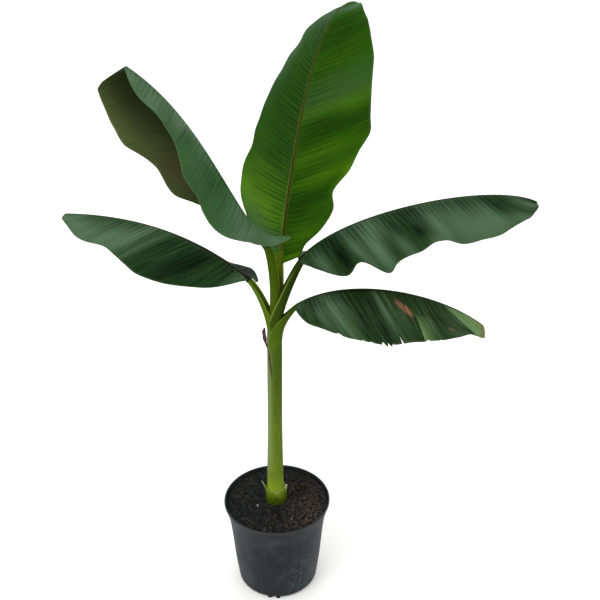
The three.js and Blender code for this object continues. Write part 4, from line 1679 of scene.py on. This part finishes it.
def third_leaf() -> Leaf:
    """Describe leaf 3: long and wavy, reaching out to the right.

    Returns:
        The leaf.
    """
    return Leaf(
        3, rib=[(45, 0, 703), (100, 18, 783), (369, 20, 844), (444, 5, 808)], rib_base=6,
        petiole=Petiole(
            (0, 0, 500), [(1.5, -1.5, 585), (7, -5, 628), (32, -6, 684)],
            radii=[9.5, 10.8, 11.8, 11.6, 10.4, 8.4],
            wrap=[176, 174, 172, 170, 160, 140, 124, 114, 110, 106, 104]),
        left=HalfBlade(
            [48, 90, 105, 95, 70, 35], [-6, 28, 30, 30, 30, 30, 30, 30, 30],
            [8, 56, 60, 60, 60, 60, 60, 60, 60], lobe=0, base_round=0.05,
            bloom=spots((0.2, 0.6, 0.07, 0.8, 0.5), (0.55, 0.6, 0.1, 0.8, 0.6)),
            dark=spots((0.02, 0.5, 0.05, 1.5, 0.6))),
        right=HalfBlade(
            [20, 35, 50, 87, 93, 107, 95, 97, 107, 105, 93, 88, 88, 87, 80, 69, 58, 49, 43, 34, 27],
            lobe=20, tip_round=0.2,
            ruffles=[
                (0.1, 0.04, -12), (0.2, 0.035, 16), (0.275, 0.05, -11), (0.44, 0.06, 24), (0.56, 0.05, -6)],
            pleats=Pleats(
                spacing=8, depth=1.5, width=1.5, reach=0.7, dark=1.0, bend=6,
                lean=[0, -8, -15, -20, -8, 12, 42, 65]),
            bloom=spots(
                (0.02, 0.6, 0.025, 0.5, 0.2), (0.1, 0.7, 0.03, 0.5, 0.5), (0.24, 0.6, 0.022, 0.7, 0.55),
                (0.3, 0.6, 0.028, 0.6, 0.85), (0.345, 0.2, 0.03, 0.3, 0.55), (0.385, 0.85, 0.02, 0.35, 0.5),
                (0.48, 1.0, 0.03, 0.2, 0.5), (0.525, 0.65, 0.028, 0.6, 0.7), (0.585, 0.7, 0.035, 0.6, 0.6),
                (0.64, 0.75, 0.035, 0.45, 0.65), (0.69, 0.7, 0.03, 0.5, 0.65), (0.75, 0.9, 0.035, 0.3, 0.6),
                (0.85, 0.5, 0.04, 0.6, 0.6)),
            dark=spots(
                (0.18, 0.6, 0.022, 0.5, 0.95), (0.45, 0.62, 0.02, 0.2, 0.9), (0.74, 0.4, 0.02, 0.3, 0.45))),
        lamina=lamina("upper_right"), stalk=sheath("upper_right", low="#364b0b", high="#1f2d08"),
        rib_skin=DEEP_MIDRIB)


def fourth_leaf() -> Leaf:
    """Describe leaf 4: folded like a tent, up to the left and towards the front.

    Returns:
        The leaf.
    """
    return Leaf(
        4, rib=[(-10, -5, 735), (-76, -40, 835), (-106, -57, 971), (-203, -110, 1053)], rib_base=6,
        petiole=Petiole(
            (0, 0, 520), [(1, 1, 600), (7, -5, 650), (0, -1, 720)], radii=[9.0, 10.0, 10, 9.8, 9.2, 8.0],
            wrap=[172, 158, 142, 126, 112, 104]),
        left=HalfBlade(
            [60, 52, 56, 64, 76, 87, 93, 91, 90, 98, 106, 96, 85, 81, 84, 85, 82, 80, 78, 72, 44],
            [-90, -50, -9, 20, 31, 32, 30, 28, 23, 20, 19, 18, 18],
            [-40, 65, 69, 70, 64, 54, 45, 39, 34, 30, 28, 28, 28], lobe=10,
            sweep=[0.1, 0.1, 0.3, 0.45, 0.4, 0.3], base_round=0.04,
            pleats=Pleats(
                spacing=8.5, depth=0.9, width=1.5, reach=1.3, dark=0.7, bend=0,
                lean=[30, 0, -20, -20, -12, 0]),
            bloom=spots(
                (0.08, 0.5, 0.16, 1.0, 0.7), (0.27, 0.4, 0.06, 0.6, 0.4), (0.5, 0.15, 0.08, 0.15, 0.5),
                (0.66, 0.05, 0.07, 0.16, 1.0), (0.71, 0.3, 0.03, 0.3, 0.7), (0.84, 0.6, 0.07, 0.8, 0.5),
                (0.97, 0.7, 0.05, 0.5, 0.55), (0.29, 0.15, 0.06, 0.25, 0.35), (0.57, 0.3, 0.05, 0.5, 0.4),
                (0.69, 0.5, 0.04, 0.8, 0.4), (0.19, 0.9, 0.04, 0.35, 0.4)),
            dark=spots((0.95, 0.05, 0.07, 0.15, 0.5), (0.67, 0.5, 0.012, 0.3, 0.35))),
        right=HalfBlade(
            [22, 25, 28, 31, 36, 44, 60, 79, 82, 80, 78, 81, 87, 93, 91, 85, 79, 72, 63, 53, 44],
            [40, 60, 85], [80, 95, 100], sweep=[0.35, 0.35, 0.35, 0.38, 0.45, 0.5], tip_round=0.04,
            pleats=Pleats(depth=0.6, dark=0.5, bend=0, lean=[10, 10]),
            bloom=spots((1.0, 0.5, 0.02, 2.0, 0.8)), brown=spots((0.45, 0.7, 0.12, 0.4, 0.5)),
            through_light=spots(
                (0.7, 1.05, 0.35, 0.35, 0.95), (0.4, 0.85, 0.12, 0.45, 0.45), (0.6, 0.7, 0.15, 0.4, 0.3))),
        lamina=lamina(
            # its under face painted dark as shade, and olive where light comes through
            "upper_left", deep="#32562e", fold="#16301a", under_deep="#222b12", under_bright="#586337"),
        stalk=sheath("upper_left", low="#415707", high="#384b03"), rib_skin=DEEP_MIDRIB)


def youngest_leaf() -> Leaf:
    """Describe leaf 5: upright behind the others, its upper face to the front.

    Returns:
        The leaf.
    """
    return Leaf(
        5, rib=[(11, 12, 695), (25, 50, 795), (58, 148, 1117), (147, 260, 1098)], rib_base=5,
        roll=[14, 14, 0],
        petiole=Petiole(
            (3, 5, 540), [(7, 9, 610), (11, 9, 645), (11, 6, 677)], radii=[6.0, 6.5, 6.8, 7, 7, 6.5],
            wrap=[170, 155, 140, 126, 112, 104], wall=[0.2, 0.4, 0.6, 0.8, 0.9, 0.9]),
        left=HalfBlade(
            [8, 29, 56, 81, 104, 110, 107, 100, 98, 95, 91, 83, 74, 67, 61, 50, 43, 43, 36, 22, 18],
            [10, 25, 35], [30, 40, 50], sweep=[0.35, 0.35, 0.35, 0.4, 0.8, 0.9],
            pleats=Pleats(
                spacing=8, depth=1.2, width=1.3, reach=0.9, dark=0.75, bend=8, lean=[10, 0, 5, 15, 10, 0]),
            # painted light: the lower blade painted yellow where light passes through it
            painted_light=spots(
                (0.02, 0.5, 0.05, 1.0, 0.95), (0.18, 0.4, 0.06, 0.8, 0.9), (0.22, 0.8, 0.04, 0.4, 0.4),
                (0.28, 0.4, 0.03, 0.6, 0.4)),
            bloom=spots(
                (0.09, 0.5, 0.03, 0.8, 0.6), (0.15, 0.7, 0.05, 0.3, 0.3), (0.6, 0.95, 0.12, 0.2, 0.6),
                (0.76, 0.7, 0.09, 0.5, 0.35), (0.86, 0.3, 0.07, 0.6, 0.5)),
            dark=spots(
                (0.48, 0.6, 0.15, 1.0, 0.38), (0.75, 0.4, 0.15, 0.8, 0.32), (0.98, 0.5, 0.06, 1.0, 0.4)),
            bloom_base=0.06),
        right=HalfBlade(
            [8, 33, 38, 62, 77, 73, 95, 106, 119, 114, 109, 104, 99, 93, 83, 72, 62, 54, 44, 35, 27],
            [5, 10, 10], [10, 10, 20], sweep=0.35,
            pleats=Pleats(
                spacing=8, depth=1.1, width=1.3, reach=0.85, dark=0.6, bend=8,
                lean=[15, 8, 15, 28, 38, 45, 40]),
            painted_light=spots(
                (0.12, 0.5, 0.06, 0.6, 0.3), (0.28, 0.6, 0.02, 0.6, 0.4), (0.35, 0.3, 0.025, 0.4, 0.3),
                (0.47, 0.6, 0.035, 0.6, 0.3), (0.015, 0.5, 0.015, 1.0, 0.7), (0.25, 1.0, 0.04, 0.12, 0.8)),
            bloom=spots((0.86, 0.5, 0.025, 1.0, 0.8), (0.52, 0.55, 0.05, 1.0, 0.2)),
            dark=spots(
                (0.22, 0.4, 0.03, 0.6, 0.45), (0.41, 0.6, 0.022, 0.6, 0.5), (0.44, 0.35, 0.02, 0.35, 0.4),
                (0.71, 0.6, 0.04, 0.8, 0.5), (0.77, 0.4, 0.025, 0.5, 0.3), (0.15, 0.5, 0.03, 0.6, 0.3))),
        lamina=lamina(
            "upright", deep="#1e4406", bright="#4c7a0c", fold="#0c2204", bloom="#46604a",
            under_deep="#41561f", gloss=0.015),
        stalk=sheath("upright", low="#6f8010", high="#6f8010", channel="#6a7a12"), rib_skin=PALE_MIDRIB,
        slot="leaf_bright")


# ---------------------------------------------------------------- studio
@dataclass(frozen=True)
class SoftBox:
    """One large studio lamp."""

    name: str
    place: tuple[float, float, float]
    aim: tuple[float, float, float]
    size: float
    watts: float

    def build(self) -> None:
        """Hang the lamp."""
        light = bpy.data.lights.new(self.name, "AREA")
        light.shape, light.size, light.energy = "SQUARE", self.size, self.watts
        made = link(bpy.data.objects.new(self.name, light))
        way = np.subtract(self.aim, self.place)
        flat = math.hypot(way[0], way[1])
        made.location = self.place
        made.rotation_euler = (math.pi / 2 + math.atan2(way[2], flat), 0, math.atan2(-way[0], way[1]))


@dataclass(frozen=True)
class Studio:
    """The plain floor, the lamps and the camera."""

    floor_half: float = 30.0
    floor_colour: str = "#fbfbfa"
    sky: float = 0.35  # brightness low down
    zenith: float = 1.35  # brightness added overhead
    lamps: tuple[SoftBox, ...] = (
        SoftBox("key_lamp", (-2.0, -2.0, 3.2), (0, 0, 0.7), 2.0, 45),
        SoftBox("back_lamp", (0.4, 2.8, 3.0), (0, 0, 0.7), 2.4, 20),
    )
    camera_place: tuple[float, float, float] = (0.046, -1.262, 1.251)
    camera_tilt: float = 63.8
    lens: float = 48.0

    def build(self) -> None:
        """Set the studio up."""
        h = self.floor_half
        corners = np.array([[-h, -h, 0], [h, -h, 0], [h, h, 0], [-h, h, 0]])
        paint = dress("painted_floor", self.floor_colour, [], Pattern((400, 400, 400), where=Where.PLACE),
                      0.0, (0.85, 0.95), 1.45)
        build_mesh("studio_floor", corners, [np.array([[0, 1, 2, 3]])], [paint])
        world = bpy.data.worlds.new("soft_room")
        world.use_nodes = True
        tree = world.node_tree
        height = add_node(tree, "ShaderNodeSeparateXYZ", {
            0: add_node(tree, "ShaderNodeTexCoord").outputs["Generated"]})
        strength = add_node(tree, "ShaderNodeMapRange", {
            0: height.outputs["Z"], 1: 0.0, 2: 1.0, 3: self.sky, 4: self.sky + self.zenith})
        tree.links.new(strength.outputs[0], tree.nodes["Background"].inputs["Strength"])
        tree.nodes["Background"].inputs["Color"].default_value = (1, 1, 1, 1)
        bpy.context.scene.world = world
        for lamp in self.lamps:
            lamp.build()
        camera = bpy.data.cameras.new("camera")
        camera.lens, camera.sensor_width, camera.clip_end = self.lens, 36.0, 200.0
        made = link(bpy.data.objects.new("camera", camera))
        made.location = self.camera_place
        made.rotation_euler = (math.radians(self.camera_tilt), 0, 0)
        bpy.context.scene.camera = made
        bpy.context.scene.view_settings.view_transform = "Standard"


def loose_bits() -> list[Strewn]:
    """List what lies loose on the compost.

    Returns:
        Each kind of bit.
    """
    peat = LooseStuff("peat_crumb", "#141515", "#272827", "#3a3a38")
    bark = LooseStuff("bark_chip", "#54403a", "#7e6258", "#b08e84", clod_mm=3.0, grit_mm=1.0)
    coir = LooseStuff("coir_fibre", "#3b2e26", "#54433a", "#75604f", clod_mm=3.0, grit_mm=1.0)
    straw = LooseStuff("dry_root", "#5c5344", "#7b7160", "#948a78", clod_mm=3.0, grit_mm=1.0)
    perlite = LooseStuff("expanded_perlite", "#c9c7c0", "#aaa89e", "#ffffff", clod_mm=2.0, grit_mm=0.8)
    lump, fibre = Bit.LUMP, Bit.FIBRE
    return [
        Strewn("crumbs_small", lump, peat, 24000, (0.7, 0.7, 0.5), (2.0, 1.8, 1.3), 0.9, 3),
        Strewn("crumbs_large", lump, peat, 1900, (1.6, 1.6, 1.0), (4.6, 3.8, 2.6), 2.2, 4),
        Strewn("coir_fibres", fibre, coir, 3600, (2.5, 2.5, 0.6), (9.0, 6.0, 2.2), 0.8, 5),
        Strewn("coir_tuft", fibre, coir, 52000, (2.0, 2.0, 0.5), (7.0, 5.0, 2.2), 0.8, 6, (68, -6), 28),
        Strewn("dry_roots", fibre, straw, 900, (2.5, 2.5, 0.6), (10.0, 6.0, 1.8), 0.8, 7),
        Strewn("bark_chips", lump, bark, 160, (1.2, 0.8, 0.4), (3.4, 2.2, 1.0), 0.7, 8),
        Strewn("bark_heap", lump, bark, 26000, (1.2, 0.6, 0.4), (4.6, 2.0, 1.0), 0.7, 10, (61, -60), 13),
        Strewn("straw_heap", fibre, straw, 60000, (2.0, 2.0, 0.6), (7.0, 4.0, 1.8), 0.8, 11, (27, -76), 10),
        Strewn("perlite_grains", lump, perlite, 260, (0.5, 0.5, 0.5), (1.3, 1.1, 1.0), 0.5, 9),
        Strewn("perlite_large", lump, perlite, 45000, (1.3, 1.6, 1.2), (2.2, 2.8, 1.8), 0.8, 12,
               (-39, -17), 6),
    ]


def main() -> None:
    """Build the plant, its pot and the studio, in order."""
    logging.basicConfig(level=logging.INFO, format="%(name)s: %(message)s")
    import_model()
    Studio().build()
    pot = Pot(MouldedPolypropylene())
    # its channel colour is painted light on the stem's lit side
    stem_skin = LivingSheath("stem_skin", low="#667a1e", high="#3f540f", streak="#3a4d0c", lip="#7c8a45",
                             channel="#76824c", gloss=0.05)
    parts = [
        pot,
        Compost(pot, LooseStuff("potting_compost", "#131414", "#282a29", "#3b3a37"), loose_bits()),
        Stem(stem_skin, CutSheath(), DeadSheath()),
        oldest_leaf(), second_leaf(), third_leaf(), fourth_leaf(), youngest_leaf(),
    ]
    pieces = [piece for part in parts for piece in part.build()]
    LOG.info("%d pieces, %d triangles", len(pieces),
             sum(len(p.vertices) - 2 for piece in pieces for p in piece.data.polygons))


if __name__ == "__main__":
    main()
